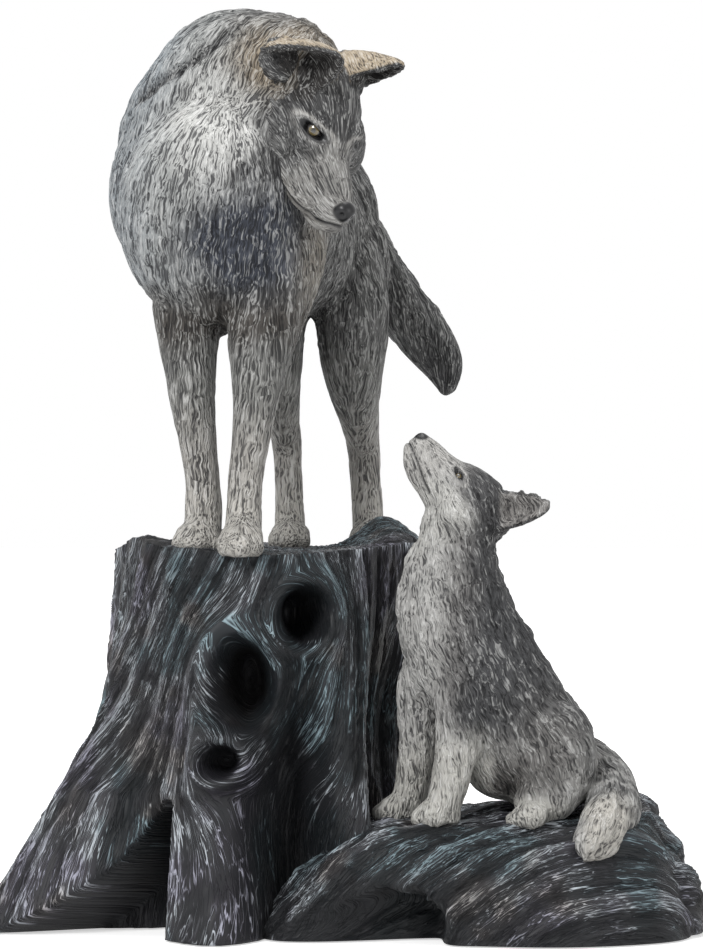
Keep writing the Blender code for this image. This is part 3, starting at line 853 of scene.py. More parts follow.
def bark_stream(angle, height):
    """Level lines of this run down the trunk, lean at the front left and part round the knots."""
    lean = LEAN * bump(turned_from(angle, LEAN_AT), LEAN_SPREAD) * np.clip(height - 50, -12, 60)
    stream = angle * ARC - lean + 2.2 * np.sin(height / 15 + np.radians(angle * 5))
    for centre, middle, spread, tall, *_ in KNOTS:
        away = turned_from(angle, centre) * ARC
        over = (height - middle) * (spread * ARC / tall)
        size = spread * ARC * 1.35
        apart = np.sqrt(away**2 + over**2) + 1e-6
        outside = -away * size**2 / np.maximum(apart, size) ** 2
        stream = stream + np.where(apart > size, outside, (apart - size) * 1.2 - away)
    return stream


def ridged(place, layer):
    """Sharp ridges where the noise crosses zero: 1 on the ridge, 0 well away from it."""
    away = np.abs(noise(place.reshape(-1, 3), 1.0, layer))
    return np.clip(1 - away * 2.6, 0, 1).reshape(place.shape[:-1])


def bark_height(angle, height):
    """Finer bark on the ribs, 0..1: long cracked ridges in three sizes."""
    turn = (bark_stream(angle, height) + 1.2 * np.sin(height / 3.1)) / ROUND
    total = 0.0
    for cell, length, share, layer in ((3.4, 80, 0.40, 1), (2.0, 48, 0.35, 2), (1.3, 30, 0.25, 3)):
        size = ROUND / cell
        place = [size * np.cos(turn), size * np.sin(turn), height / length + layer * 7.7]
        total = total + share * ridged(np.stack(place, -1), layer)
    return total


def stump_top(x, y):
    """The worn top: nearly flat, with a few lumps near its edge."""
    height = STUMP_HEIGHT + 0.8 * np.sin(x / 9)
    for lump_x, lump_y, width, depth, rise in TOP_LUMPS:
        height = height + rise * bump(x - lump_x, width) * bump(y - lump_y, depth)
    return height


def mound_grid(x, y, radius_of, top_of, levels, lid, sides):
    """Rings of points up a wall and over a lid, and the angle of each side.

    A wall point is the middle + radius * (cos, sin), at a share of the top's height there.
    """
    angle = np.linspace(0, 360, sides, endpoint=False)
    rad = np.radians(angle)
    rings = []
    for share in levels:
        rim = radius_of(angle, np.full(sides, share * top_of(x, y)))
        px, py = x + rim * np.cos(rad), y + rim * np.sin(rad)
        rings.append(np.stack([px, py, share * top_of(px, py)], -1))
    edge = rings[-1][:, :2]
    for share in lid:
        flat = (x, y) + (edge - (x, y)) * share
        rings.append(np.column_stack([flat, top_of(flat[:, 0], flat[:, 1])]))
    return np.array(rings), angle


def grid_mesh(name, rings):
    """A closed mesh from rings of points, capped at both ends."""
    mesh = bpy.data.meshes.new(name)
    mesh.from_pydata(rings.reshape(-1, 3).tolist(), [], ring_faces(rings.shape[0], rings.shape[1]))
    mesh.update()
    return mesh


STUMP_SIDES = 440
stump_levels = np.linspace(0, 1, 156)
stump_lid = np.linspace(0.985, 0.02, 36)


def stump_radius(angle, height):
    """The trunk's form plus its ribs and the finer bark on them."""
    ribs = RIB_RISE * (rib(bark_stream(angle, height), RIB_PITCH) - 0.5)
    return stump_form(angle, height) + ribs + FINE_RISE * (bark_height(angle, height) - 0.4)


rings, stump_angle = mound_grid(STUMP_X, STUMP_Y, stump_radius, stump_top,
                                stump_levels, stump_lid, STUMP_SIDES)
wall = len(stump_levels)
angles = np.broadcast_to(stump_angle, rings.shape[:2])
heights = rings[..., 2]
bark = 0.75 * rib(bark_stream(angles, heights), RIB_PITCH) + 0.30 * bark_height(angles, heights)
lid_points = rings[wall:].reshape(-1, 3)
worn = 0.6 * ridged(lid_points * (0.16, 0.5, 0.0) + (0, 3.1, 5.7), 4)
worn = worn + 0.4 * ridged(lid_points * (0.35, 1.1, 0.0), 5)
rings[wall:, :, 2] += (WORN_RISE * (worn - 0.5)).reshape(rings[wall:].shape[:2])
bark[wall:] = (0.25 + 0.75 * worn).reshape(bark[wall:].shape)
print("Stump rings and sides:", rings.shape[:2])

# %% [markdown]
# Its paint is near black, dry-brushed with pale blue-grey and touched with teal and
# violet. Hollows stay black: the brush misses them, and they are darkened further as
# painted shade. The grain that the fine fibres follow is stored too.

# %% Stump paint
PALE = np.array((0.52, 0.56, 0.60))
TEAL = np.array((0.27, 0.36, 0.40))
VIOLET = np.array((0.37, 0.36, 0.45))
WARM = np.array((0.40, 0.37, 0.35))


def brush_hues(points):
    """The brush's colour at each point: pale, drifting to teal, violet and a warmer grey."""
    tint = layered(points, 17.0, 21)[:, None]
    other = layered(points, 13.0, 27)[:, None]
    hue = PALE + (TEAL - PALE) * step(0.05, 0.6, tint)
    hue = hue + (VIOLET - hue) * step(0.05, 0.7, -tint) * 0.85
    return hue + (WARM - hue) * step(0.2, 0.8, other) * 0.8


def hollow_light(angle, height):
    """Painted shade: 1 in the open, down to 0 in the knot holes, the deep hollow and under the arch."""
    light = np.ones(angle.shape)
    for *place, _, _ in KNOTS:
        light *= 0.04 + 0.96 * step(0.62, 1.12, np.sqrt(oval(angle, height, *place)))
    for *place, depth in HOLLOWS[:DARK_HOLLOWS]:
        light *= 1 - 0.045 * depth * np.exp(-0.9 * oval(angle, height, *place))
    under = step(-1, 3, arch_roof(angle) - height)
    return light * (1 - 0.93 * under * step(ARCH_HIGH + 6, ARCH_HIGH + 2, angle))


def store_bark(mesh, points, height, light, grain):
    """What the bark paint reads: the brush's hue, the relief, how open it is to the light (low where shade
    is painted) and the grain.
    """
    store(mesh, "paint", coloured(brush_hues(points)))
    drift = 0.5 + 0.5 * layered(points, 24.0, 11)
    store(mesh, "height", height + 0.16 * (drift - 0.5))
    store(mesh, "open", np.clip(light, 0, 1))
    store(mesh, "grain", grain)


rings[..., 2] = np.maximum(rings[..., 2], 0)
flat_rings = rings.reshape(-1, 3)
light = hollow_light(angles, rings[..., 2])
light[wall:] = 1
turn = bark_stream(angles, rings[..., 2]) / ROUND
grain = np.stack([ROUND * np.cos(turn), ROUND * np.sin(turn), 0.05 * rings[..., 2]], -1)
# Past the rim the grain runs across the worn top.
RIM_RINGS = 3
grain[wall + RIM_RINGS:] = rings[wall + RIM_RINGS:] * (0.2, 1.0, 0.1)
stump_mesh = grid_mesh("stump", rings)
store_bark(stump_mesh, flat_rings, bark.ravel(), light.ravel(), grain.reshape(-1, 3))
piece("stump", stump_mesh, flat_rings, BARK)

# %% [markdown]
# ## The rock
#
# The rock is a rounded oblong with a cave at its front left. Its grain sweeps from the
# upper right down to the lower left.

# %% The rock
ROCK_X, ROCK_Y = 33.0, -32.0
ROCK_HALF_LENGTH, ROCK_HALF_DEPTH = 59.0, 37.0
# The power of its rounded oblong: 2 is an ellipse, and more is squarer.
ROCK_POWER = 3.2
# The bulge at the front is (angle, half angle, reach). The cave is the same, then its
# height and half height.
ROCK_BULGE = (300, 24, 5)
ROCK_CAVE = (234, 21, 22, 4, 13)
# The distance between the ribs of the grain, their height and that of the finer grain
GRAIN_PITCH = 8.0
GRAIN_RISE = 2.0
FINE_GRAIN_RISE = 1.7
ROCK_SIDES = 460
# A lump at the right end is (centre, radii).
ROCK_LUMPS = (
    ((76, -10, 28), (11, 13, 7.5)),
    ((81, -18, 17), (9, 14, 12)),
    ((84, -34, 6), (11, 12, 14)),
)


def rock_cave(angle, height):
    """How far inside the cave a place on the wall is: 1 in its middle, 0 outside."""
    centre, spread, _, middle, tall = ROCK_CAVE
    return np.exp(-oval(angle, height, centre, middle, spread, tall) ** 2)


def rock_form(angle, height):
    """The rock's outline: a rounded oblong, with a cave at the front left.

    radius = (|cos / half length| ** power + |sin / half depth| ** power) ** (-1 / power)
    """
    rad = np.radians(angle)
    radius = (np.abs(np.cos(rad) / ROCK_HALF_LENGTH) ** ROCK_POWER
              + np.abs(np.sin(rad) / ROCK_HALF_DEPTH) ** ROCK_POWER) ** (-1 / ROCK_POWER)
    radius *= 1 - 0.17 * (height / ROCK_HEIGHT) ** 1.7
    centre, spread, reach = ROCK_BULGE
    radius += reach * bump(turned_from(angle, centre), spread) * (1 - 0.5 * height / ROCK_HEIGHT)
    return radius - ROCK_CAVE[2] * rock_cave(angle, height)


def rock_top(x, y):
    """A low dome that falls away to the left end and to the front."""
    left = step(-30, 12, x)
    dome = 4 * bump(x - 45, 26) * bump(y + 22, 17)
    right = 4 * step(54, 80, x) * step(-48, -20, y)
    return ROCK_HEIGHT * (0.36 + 0.64 * left) + dome + right - 9 * step(-50, -72, y)


def rock_stream(x, y, z):
    """Level lines of this slope down to the left over the rock's front and top."""
    return 0.6 * z - 0.5 * x + 0.8 * y + 1.6 * np.sin(x / 19 + y / 17) + 1.0 * np.sin(z / 8 - x / 11)


rock_levels = np.linspace(0, 1, 78)
rock_lid = np.linspace(0.99, 0.02, 100)
rock_rings, rock_angle = mound_grid(ROCK_X, ROCK_Y, rock_form, rock_top,
                                    rock_levels, rock_lid, ROCK_SIDES)
rock_points = rock_rings.reshape(-1, 3)
for lump_at, lump_size in ROCK_LUMPS:
    away = (rock_points - lump_at) / lump_size
    near = np.linalg.norm(away, axis=1)
    swell = unit(away * lump_size) * (np.clip(1.15 - near, 0, 1) * min(lump_size))[:, None]
    rock_points = rock_points + swell
rock_mesh = grid_mesh("rock", rock_points.reshape(rock_rings.shape))
points, normals = read_points(rock_mesh)
stream = rock_stream(*points.T)
along = (points[:, 0] + points[:, 2]) / 24
fine_grain = 0.0
for cell, share, layer in ((3.2, 0.40, 1), (1.8, 0.35, 2), (1.0, 0.25, 3)):
    place = np.column_stack([stream / cell, along * 3 / cell, points[:, 1] / 30 + layer * 5.1])
    fine_grain = fine_grain + share * ridged(place, 50 + layer)
relief = 0.75 * rib(stream, GRAIN_PITCH) + 0.30 * fine_grain
foot = step(0.0, 1.5, points[:, 2])
push = GRAIN_RISE * (rib(stream, GRAIN_PITCH) - 0.5) + FINE_GRAIN_RISE * (fine_grain - 0.4)
carved = points + normals * (push * foot)[:, None]
carved[:, 2] = np.maximum(carved[:, 2], 0)
on_wall = np.arange(len(points)) < len(rock_levels) * ROCK_SIDES
inside = rock_cave(np.tile(rock_angle, len(rock_rings)), points[:, 2]) * on_wall
grain = np.column_stack([stream, 0.05 * (points[:, 0] + points[:, 2]), 0.05 * points[:, 1]])
# The cave is painted in shade, and the rock is painted darker towards its foot.
dark_foot = 0.35 + 0.65 * step(0, 20, points[:, 2] + 5 * noise(points, 14.0, 61))
store_bark(rock_mesh, carved, relief, (1 - 0.94 * inside**0.4) * dark_foot, grain)
piece("rock", rock_mesh, carved, BARK)

# %% [markdown]
# ## The adult's body
#
# The torso, the neck, four legs and the tail are lofts. The mane's roll is one more, laid
# over the nape and down the right shoulder, and four balls fill out the ruff on the chest.
# Heights are over the paws' ground, which lies a little below the stump's top.

# %% Adult tables
# A row is (x, y, z, half width, half depth), a paw (x, y, width, length, height) and a
# ball of fluff (centre, radii).
ADULT_TORSO = (
    (-38, -53, 84, 8, 14),
    (-37, -47, 87, 20, 26),
    (-36, -36, 92, 27, 33),
    (-34, -20, 96, 29, 35),
    (-30, -2, 96, 27.5, 32),
    (-24, 16, 92, 24, 27),
    (-17, 34, 92, 20.5, 25),
    (-10, 52, 96, 18.5, 23),
    (-6, 64, 94, 13, 17),
    (-4, 71, 92, 6, 9),
)
ADULT_NECK = (
    (-36, -8, 100, 27, 28),
    (-36, -20, 116, 26, 25),
    (-31, -31, 129, 21, 20),
    (-22, -35.5, 132.5, 14.5, 15.5),
    (-13, -40.5, 129.5, 12, 14),
    (-8, -44, 121, 9, 10),
)
ADULT_MANE_ROLL = (
    (-26, -24, 142, 5, 5),
    (-32, -24, 141.5, 8, 8),
    (-38, -22, 137.5, 9, 9),
    (-46, -18, 130.5, 9.5, 9),
    (-53, -14, 123.5, 9, 8.5),
    (-58, -11, 115, 7, 7),
    (-59, -10, 106, 4, 5),
)
ADULT_LEGS = (
    # right fore, left fore, right hind, left hind
    ((-41, -22, 96, 6, 8), (-43, -24, 82, 13, 16), (-44.6, -25, 62, 8.6, 10), (-43.6, -26, 43, 6.3, 7.4),
     (-42, -26, 30, 5.3, 6), (-40.8, -26, 20, 4.9, 5), (-40.5, -26, 9, 5.2, 5.2), (-41, -27, 2, 5, 5)),
    ((-22, -26, 98, 6, 8), (-21, -31, 84, 14, 16), (-23.6, -35, 64, 10.4, 12), (-25.8, -39, 43, 6.4, 7.6),
     (-27.5, -40, 30, 5.1, 6), (-28.8, -40, 20, 4.9, 5), (-29.2, -40, 9, 5.1, 5.2), (-29.4, -41, 2, 5, 5)),
    ((-16, 48, 104, 5, 8), (-21, 47, 90, 10.5, 19), (-23, 40, 70, 10.5, 17), (-22, 42, 52, 7.5, 11),
     (-20, 52, 38, 4.8, 6.5), (-19, 58, 31, 4.6, 5.5), (-18.4, 56, 20, 4.2, 4.6), (-18, 53, 9, 4.6, 4.8),
     (-18, 51, 2, 4.6, 4.8)),
    ((-5, 50, 104, 5, 8), (-1, 50, 90, 10.5, 19), (0, 44, 70, 11, 17), (0.5, 46, 52, 8.6, 12),
     (2.4, 56, 38, 5.6, 7), (3.4, 62, 31, 5.2, 5.6), (4.2, 60, 20, 4.5, 4.6), (4.8, 57, 9, 4.7, 4.8),
     (5, 55, 2, 4.7, 4.8)),
)
ADULT_PAWS = (
    (-42.0, -29, 13.4, 17, 9.5),
    (-29.6, -44, 12.6, 17, 9.5),
    (-17.8, 48, 12.2, 16, 9),
    (5.7, 52, 12.6, 16, 9),
)
ADULT_TAIL = (
    (-6, 62, 100, 7, 8),
    (0, 70, 94, 8, 8.5),
    (9, 75, 79, 8.4, 8.6),
    (19.5, 77, 66, 8.2, 8.4),
    (26.5, 78, 56, 6.6, 6.8),
    (28.2, 78, 49, 3.6, 4),
    (27.2, 78, 45.5, 1.2, 1.4),
)
ADULT_FLUFF = (
    ((-33, -41, 98), (22, 14, 24)),
    ((-50, -17, 100), (16.5, 20, 24)),
    ((-17, -26, 96), (12, 18, 24)),
    ((-22, -44, 112), (14, 10, 16)),
)
# How far the paws sink into the stump, to stand on it without a gap
ADULT_SINK = 1.6
ADULT_BASE = np.array((0, 0, STUMP_HEIGHT - ADULT_SINK))
# Where the skin is cut into pieces: a height over the stump's top, and the flank's y
LEG_CUT, BODY_CUT = 56.0, 0.0
CREASE_DEPTH = 1.6
HEAD_AT = np.array((-9.4, -43, 119.2)) + ADULT_BASE
HEAD_TURN = frame_of((0.272, -0.593, -0.758), (0.536, -0.561, 0.631))
# Guide hairs in the adult's frame: (place, direction, reach)
ADULT_GUIDES = (
    ((-61, -18, 96), (-0.15, 0, -1), 15),
    ((-58, -20, 114), (-0.35, 0.1, -0.95), 13),
    ((-50, -38, 111), (-0.35, 0, -0.95), 12),
    ((-40, -42, 120), (-0.35, -0.1, -0.93), 11),
    ((-31, -48, 114), (-0.12, 0, -1), 11),
    ((-46, -42, 96), (-0.12, 0, -1), 12),
    ((-53, -32, 77), (0.08, 0, -1), 13),
    ((-17, -50, 98), (-0.8, 0, -0.6), 8),
    ((-27, -53, 93), (-0.75, 0, -0.65), 9),
    ((-38, -52, 85), (-0.6, 0, -0.8), 9),
    ((-30, -54, 77), (-0.3, 0, -0.95), 10),
    ((-43, -46, 71), (-0.1, 0, -1), 10),
    ((-19, -50, 79), (-0.2, 0, -0.98), 8),
    ((-8, -40, 80), (0.05, 0.1, -1), 9),
    ((-26, -42, 130), (-0.75, 0, -0.6), 9),
    ((-48, -22, 133), (-0.7, 0.1, -0.6), 9),
    ((-38, -24, 142), (-0.9, 0.2, -0.3), 9),
    ((-24, -26, 147), (-0.8, 0.4, 0.1), 9),
    ((-12, -24, 144), (0.1, 0.9, -0.2), 9),
    ((4, -20, 110), (0.3, 0.8, -0.6), 12),
)

# The crease under the mane's roll as (x, z), and the edge of the dark face as (z, x)
CREASE = ((-60, 123), (-52.5, 127.6), (-46.6, 131), (-39.6, 135.3), (-34.1, 139.7), (-30, 143))
FACE_EDGE = ((100, -33), (103.8, -31.4), (107.2, -27.4), (112.8, -25.6), (116.5, -25.3),
             (121.5, -22.7), (126, -20))


def line_at(value, marks):
    """The second measure of a line through marks at each value of the first."""
    marks = np.array(marks)
    return np.interp(value, marks[:, 0], marks[:, 1])


# %% Adult body
shapes = [loft(ADULT_TORSO), loft(ADULT_NECK), loft(ADULT_MANE_ROLL, across=(0, 1, 0))]
shapes += [loft(rows) for rows in ADULT_LEGS]
shapes.append(loft(ADULT_TAIL, across=(0, 1, 0)))
shapes += [ball(c, r) for c, r in ADULT_FLUFF]
for x, y, width, length, height in ADULT_PAWS:
    shapes += paw(x, y, (-0.1, -1), width, length, height)
body_mesh = skin([moved(s, offset=ADULT_BASE) for s in shapes], BODY_CELLS)
points, normals = read_points(body_mesh)
local = points - ADULT_BASE

axes = [(ADULT_TORSO, 1), (ADULT_NECK, -1), (ADULT_MANE_ROLL, 1), (ADULT_TAIL, 1)]
body_sources = flow_sources(axes + [(rows, 1) for rows in ADULT_LEGS], ADULT_GUIDES)
body_way = flow_grid(local, body_sources, sag=0.55, wave=0.16, lump=12.0)
leg = step(66, 46, local[:, 2])
paw_share = step(14, 8, local[:, 2])
body_way = laid_flat(local, normals, body_way, np.array((-0.12, 0, -1.0)))
crease = bump(local[:, 2] - line_at(local[:, 0], CREASE), 1.5) * step(-6, -16, local[:, 1])
crease = crease * step(-62, -57, local[:, 0]) * step(-30, -35, local[:, 0])
fur_depth = 0.72 - 0.50 * leg - 0.12 * paw_share
lifted, height, way = carve(local, normals, body_way, fur_depth, cell=1.5, reach=9.0)
lifted = lifted - normals * (CREASE_DEPTH * crease)[:, None]
carved = lifted + ADULT_BASE
height = calmed(height, 0.45 * leg + 0.4 * paw_share)

# %% [markdown]
# Its paint is layers of resin grey, each mixed over the one before by a share: near a
# place, share = e ** -(distance / size) ** 2, and elsewhere a smooth step along an axis.
# The places are shifted a little by noise, so that no border is a clean line.

# %% Adult body paint


def blend(colour, other, share):
    """Mixes one colour into an array of colours by a share for each point."""
    return colour + (np.array(other) - colour) * np.clip(share, 0, 1)[:, None]


def close_to(p, place, size):
    """1 at a place, falling off over a size along each axis."""
    return np.exp(-(((p - place) / size) ** 2).sum(1))


def layers_over(ground, count, layers):
    """The ground colour at each point, with each layer (colour, share) mixed over it in turn."""
    colour = np.tile(ground, (count, 1)).astype(float)
    for tone, share in layers:
        colour = blend(colour, tone, share)
    return colour


def strayed(p, amount, cell, layer):
    """The points, each shifted a little by noise."""
    return p + amount * np.stack([noise(p, cell, layer + k) for k in range(3)], 1)


def store_fur(mesh, colour, height, way, bare):
    """What the fur paint reads: the paint, the relief, the lie of the hair and where it is bare."""
    store(mesh, "paint", coloured(colour))
    store(mesh, "height", height)
    store(mesh, "way", way)
    store(mesh, "bare", bare)


def adult_paint(p):
    """The body's colours: pale ruff, a chest painted dark as shade under the head, grey flank, and legs
    that pale towards the paws.
    """
    q = strayed(p, 2.2, 7.0, 71)
    x, y, z = q.T
    front = step(-12, -30, y)
    in_face = step(-1.5, 1.5, x - line_at(z, FACE_EDGE)) * step(98, 103, z) * step(-30, -38, y)
    tail = step(66, 72, y) * step(42, 48, z) * step(0, 4, x)
    return layers_over((0.105, 0.105, 0.103), len(p), (
        # The dark back, the side of the chest and the pale shoulder
        ((0.060, 0.061, 0.064), step(104, 120, z + 0.15 * y) * step(-14, 4, y)),
        ((0.20, 0.21, 0.21), step(14, -8, y) * step(72, 84, z) * step(-24, -40, x)),
        ((0.29, 0.315, 0.335), step(-40, -54, x) * step(8, -14, y) * step(66, 78, z)),
        # The pale ruff, and the fur behind the face
        ((0.62, 0.62, 0.60), close_to(q, (-37, -46, 111), (15, 26, 20)) * 1.5),
        ((0.44, 0.45, 0.44), close_to(q, (-47, -40, 92), (10, 24, 20)) * 1.1),
        ((0.115, 0.115, 0.113), in_face * step(128, 122, z)),
        # Cream over the brow, painted shade inside the right ear, the roll and the nape
        ((0.34, 0.28, 0.205), close_to(q, (-17, -44, 134), (12, 22, 8)) * 1.5),
        ((0.030, 0.028, 0.027), close_to(q, (-11, -38, 127.5), (6, 24, 7.5)) * 3),
        ((0.25, 0.29, 0.32), close_to(q, (-48, -20, 132), (15, 16, 10)) * 1.3),
        ((0.13, 0.13, 0.13), close_to(q, (-20, -24, 146), (14, 18, 7))),
        # The chest under the head, painted blue-black as shade, the brown below it and the fawn beside it
        ((0.040, 0.046, 0.062), close_to(q, (-26, -52, 84), (18, 16, 14)) * 1.7 * front),
        ((0.060, 0.054, 0.048), step(74, 64, z) * step(52, 60, z) * front),
        ((0.25, 0.23, 0.20), close_to(q, (-9, -42, 78), (6, 16, 14)) * 1.2 * front),
        # The legs, from the hind thighs down to the paws
        ((0.12, 0.12, 0.115), step(64, 54, z) * step(-10, 10, y)),
        ((0.20, 0.20, 0.19), step(62, 46, z)),
        ((0.37, 0.355, 0.33), step(48, 24, z)),
        ((0.52, 0.50, 0.46), step(26, 8, z)),
        # The tail, with a darker tip
        ((0.085, 0.086, 0.086), tail),
        ((0.045, 0.045, 0.047), tail * step(60, 50, z)),
    ))


# Painted shade: the crease under the mane's roll is painted near black as well as pressed in.
body_colour = blend(adult_paint(local), (0.030, 0.030, 0.033), crease * 0.9)
store_fur(body_mesh, body_colour, height, way, bare=np.zeros(len(local)))
body_mesh.vertices.foreach_set("co", carved.astype(np.float32).ravel())
# The skin is cut where the coat hides it, so that each piece stays light to load.
upper, legs = halves(body_mesh, (0, 0, LEG_CUT + STUMP_HEIGHT), (0, 0, 1))
back, front = halves(upper, (0, BODY_CUT, 0), (0, 1, 0))
for name, part in (("adult_front", front), ("adult_back", back), ("adult_legs", legs)):
    piece(name, part, read_points(part)[0], FUR)

# %% [markdown]
# ## Heads
#
# A head has its own frame: +X to the nose, +Y to its left, +Z over the crown. Its rows
# are (x, centre z, half width, half height). The mouth is a groove along a line, the
# nostrils and the eye openings are pressed in, and the eyeballs are pieces of their own.

# %% Head helpers


def head_axis(rows):
    """A head's rows as a loft's rows in its middle plane."""
    return [(x, 0, z, w, h) for x, z, w, h in rows]


def head_shapes(rows, sides, middle, ears):
    """Skull and muzzle, brow, cheeks and lips, jaw, nose and two cupped ears."""
    shapes = [loft(head_axis(rows), across=(0, 1, 0), sides=56)]
    for side in (-1, 1):
        shapes += [ball(np.multiply(c, (1, side, 1)), r) for c, r in sides]
    shapes += [ball(c, r) for c, r in middle]
    return shapes + [ear(*way) for way in ears]


EYE_FACING = unit(np.array((0.62, 0.70, 0.35)))
# The eye's slit runs across this way.
EYE_UP = (0.1, 0, -1.0)


def almond(points, centre, facing, radius, size):
    """How far a point is from the middle of an eye's slit, 1 on the lids' edge, and how low it is."""
    tangent = unit(np.cross(facing, EYE_UP))
    upward = np.cross(tangent, facing)
    away = points - (centre + facing * radius * 0.6)
    a, b, c = away @ tangent, away @ upward, away @ facing
    slit = np.sqrt((a / (3.5 * size)) ** 2 + (b / (1.35 * size)) ** 2)
    return slit + 4 * (np.abs(c) > 4.5 * size), b


def press_face(points, normals, eye, eye_radius, mouth, nose, size):
    """Presses the mouth line, nostrils and eye slits in. Returns points, dark shares and pale rings."""
    x, _, z = points.T
    push, pale = np.zeros(len(points)), np.zeros(len(points))
    along = step(mouth[0][0] - 0.8 * size, mouth[0][0] + 0.6 * size, x)
    groove = bump(z - line_at(x, mouth), 0.62 * size) * along
    push += 0.8 * size * groove
    dark = groove * 1.2
    pad = step(1.18, 0.95, np.linalg.norm((points - nose[0]) / nose[1], axis=1))
    dark = np.maximum(dark, pad * step(-1.3, -0.3, x - nose[0][0]))
    for side in (-1, 1):
        nostril = np.array(nose[0]) + (nose[1][0] * 0.8, side * nose[1][1] * 0.55, -0.1 * size)
        hole = bump(np.linalg.norm((points - nostril) / (1.4, 0.8, 0.9), axis=1), 0.85 * size)
        push += 1.2 * size * hole
        slit, low = almond(points, eye * (1, side, 1), EYE_FACING * (1, side, 1), eye_radius, size)
        push += 1.9 * size * step(1.0, 0.7, slit) - 0.5 * size * bump(slit - 1.35, 0.3)
        dark = np.maximum(dark, step(1.42, 1.12, slit))
        pale = np.maximum(pale, bump(slit - 2.0, 0.38) * (0.35 + 0.65 * step(0.2, -0.4, low / size)))
    return points - normals * push[:, None], np.clip(dark, 0, 1), pale


def ear_sides(points, normals, ears):
    """The shares of each point on the outer side of an ear's wall and inside its cup."""
    outer, inner = np.zeros(len(points)), np.zeros(len(points))
    for base, tip, opening, width, cup in ears:
        length, tip_way, edge, hollow = ear_ways(base, tip, opening)
        away = points - base
        up = (away @ tip_way) / length
        half, deep = ear_section(up, width, cup)
        over = (away @ edge) / half
        sheet = away @ hollow + half * deep * (1 - over**2)
        on_ear = step(0.03, 0.12, up) * (up < 1.1) * step(1.16, 1.05, np.abs(over))
        behind = step(0.25, 0.0, normals @ hollow) * step(0.3, -0.2, sheet)
        outer = np.maximum(outer, on_ear * behind * step(-4, -2.6, sheet))
        inner = np.maximum(inner, on_ear * step(-0.2, 0.2, sheet) * step(2.6, 1.4, away @ hollow))
    return outer, inner


EYE_RIM = (0.012, 0.010, 0.009)
AMBER = (0.17, 0.13, 0.055)
PUPIL = 0.003


def eyeballs(figure, centre, radius, iris, pupil, head_turn, head_at):
    """A right and a left eyeball, painted in rings round the way each faces."""
    for side, name in ((-1, "right"), (1, "left")):
        points, faces = ball((0, 0, 0), (radius,) * 3, rings=40, sides=56)
        away = radius * np.arccos(np.clip(unit(points) @ (EYE_FACING * (1, side, 1)), -1, 1))
        amber = np.array(AMBER) * (0.45 + 0.55 * step(pupil, iris * 0.8, away))[:, None]
        colour = np.where((away < iris)[:, None], amber, EYE_RIM)
        colour = np.where((away < pupil)[:, None], PUPIL, colour)
        mesh = bpy.data.meshes.new("eye")
        placed = (points + centre * (1, side, 1)) @ head_turn.T + head_at
        mesh.from_pydata(placed.tolist(), [], faces)
        store(mesh, "paint", coloured(colour))
        piece(f"{figure}_{name}_eye", mesh, placed, EYE)


# %% [markdown]
# ## The adult's head
#
# It is turned to the wolf's left and hangs down towards the pup. The face is shaped in the
# head's own frame, and then turned and placed: point @ turn + place.

# %% Adult head
ADULT_HEAD_ROWS = (
    (-17, 0, 8, 8),
    (-13, 0.6, 11.5, 12),
    (-6, -0.2, 12.8, 13.8),
    (1, -0.9, 11.8, 13.2),
    (7, -2.8, 10.2, 12),
    (12, -5.2, 8.2, 10.6),
    (17, -6.6, 7.0, 9.4),
    (22.5, -6.6, 6.0, 8.8),
    (27.5, -6.6, 5.3, 7.7),
    (31.5, -6.3, 4.5, 6.0),
    (34, -5.6, 3.3, 4.2),
    (35.2, -5.0, 1.6, 2.2),
)
ADULT_HEAD_SIDES = (
    ((8.8, 5.4, 6.0), (5.0, 2.8, 2.7)),
    ((9.5, 6.2, -1.2), (6.2, 3.4, 4.2)),
    ((2.0, 10.4, -7.0), (11, 7.0, 9.5)),
    ((17.5, 5.2, -9.6), (11, 4.3, 5.0)),
    ((9.0, 7.2, -11.5), (9, 5.0, 6.0)),
)
ADULT_HEAD_MIDDLE = (
    ((20, 0, -13.2), (11, 3.8, 3.4)),
    ((33.6, 0, -2.7), (3.0, 3.2, 2.8)),
    ((-10.2, -12.6, 7.2), (7.2, 6.5, 6.8)),
    ((-9.5, 8.5, 6.5), (6, 5, 6.5)),
)
# An ear is (base, tip, the way its hollow looks, width, cup) in the head's frame.
ADULT_EARS = (
    ((-3.2, -16.7, 6.1), (5.9, -9.8, 24.6), (0.93, -0.33, 0.12), 18, 1.3),
    ((-7.5, 8.6, 6.5), (1.5, 12.6, 24.5), (0.95, 0.30, -0.05), 15, 1.15),
)
ADULT_EYE = np.array((9.9, 5.3, 2.5))
ADULT_EYE_RADIUS = 2.7
# A mouth line is (x, z). A nose is (centre, radii).
ADULT_MOUTH = ((13.6, -13.2), (18, -12.6), (22, -12.0), (26, -11.3), (30, -10.8), (33.5, -8.6),
               (36, -6.6))
ADULT_NOSE = ((33.6, 0, -2.7), (3.1, 3.3, 2.9))
shapes = head_shapes(ADULT_HEAD_ROWS, ADULT_HEAD_SIDES, ADULT_HEAD_MIDDLE, ADULT_EARS)
head_mesh = skin(shapes, HEAD_CELLS, rounds=7)
points, normals = read_points(head_mesh)
pressed, face_dark, face_pale = press_face(points, normals, ADULT_EYE, ADULT_EYE_RADIUS,
                                           ADULT_MOUTH, ADULT_NOSE, size=1.0)
ear_out, ear_in = ear_sides(points, normals, ADULT_EARS)
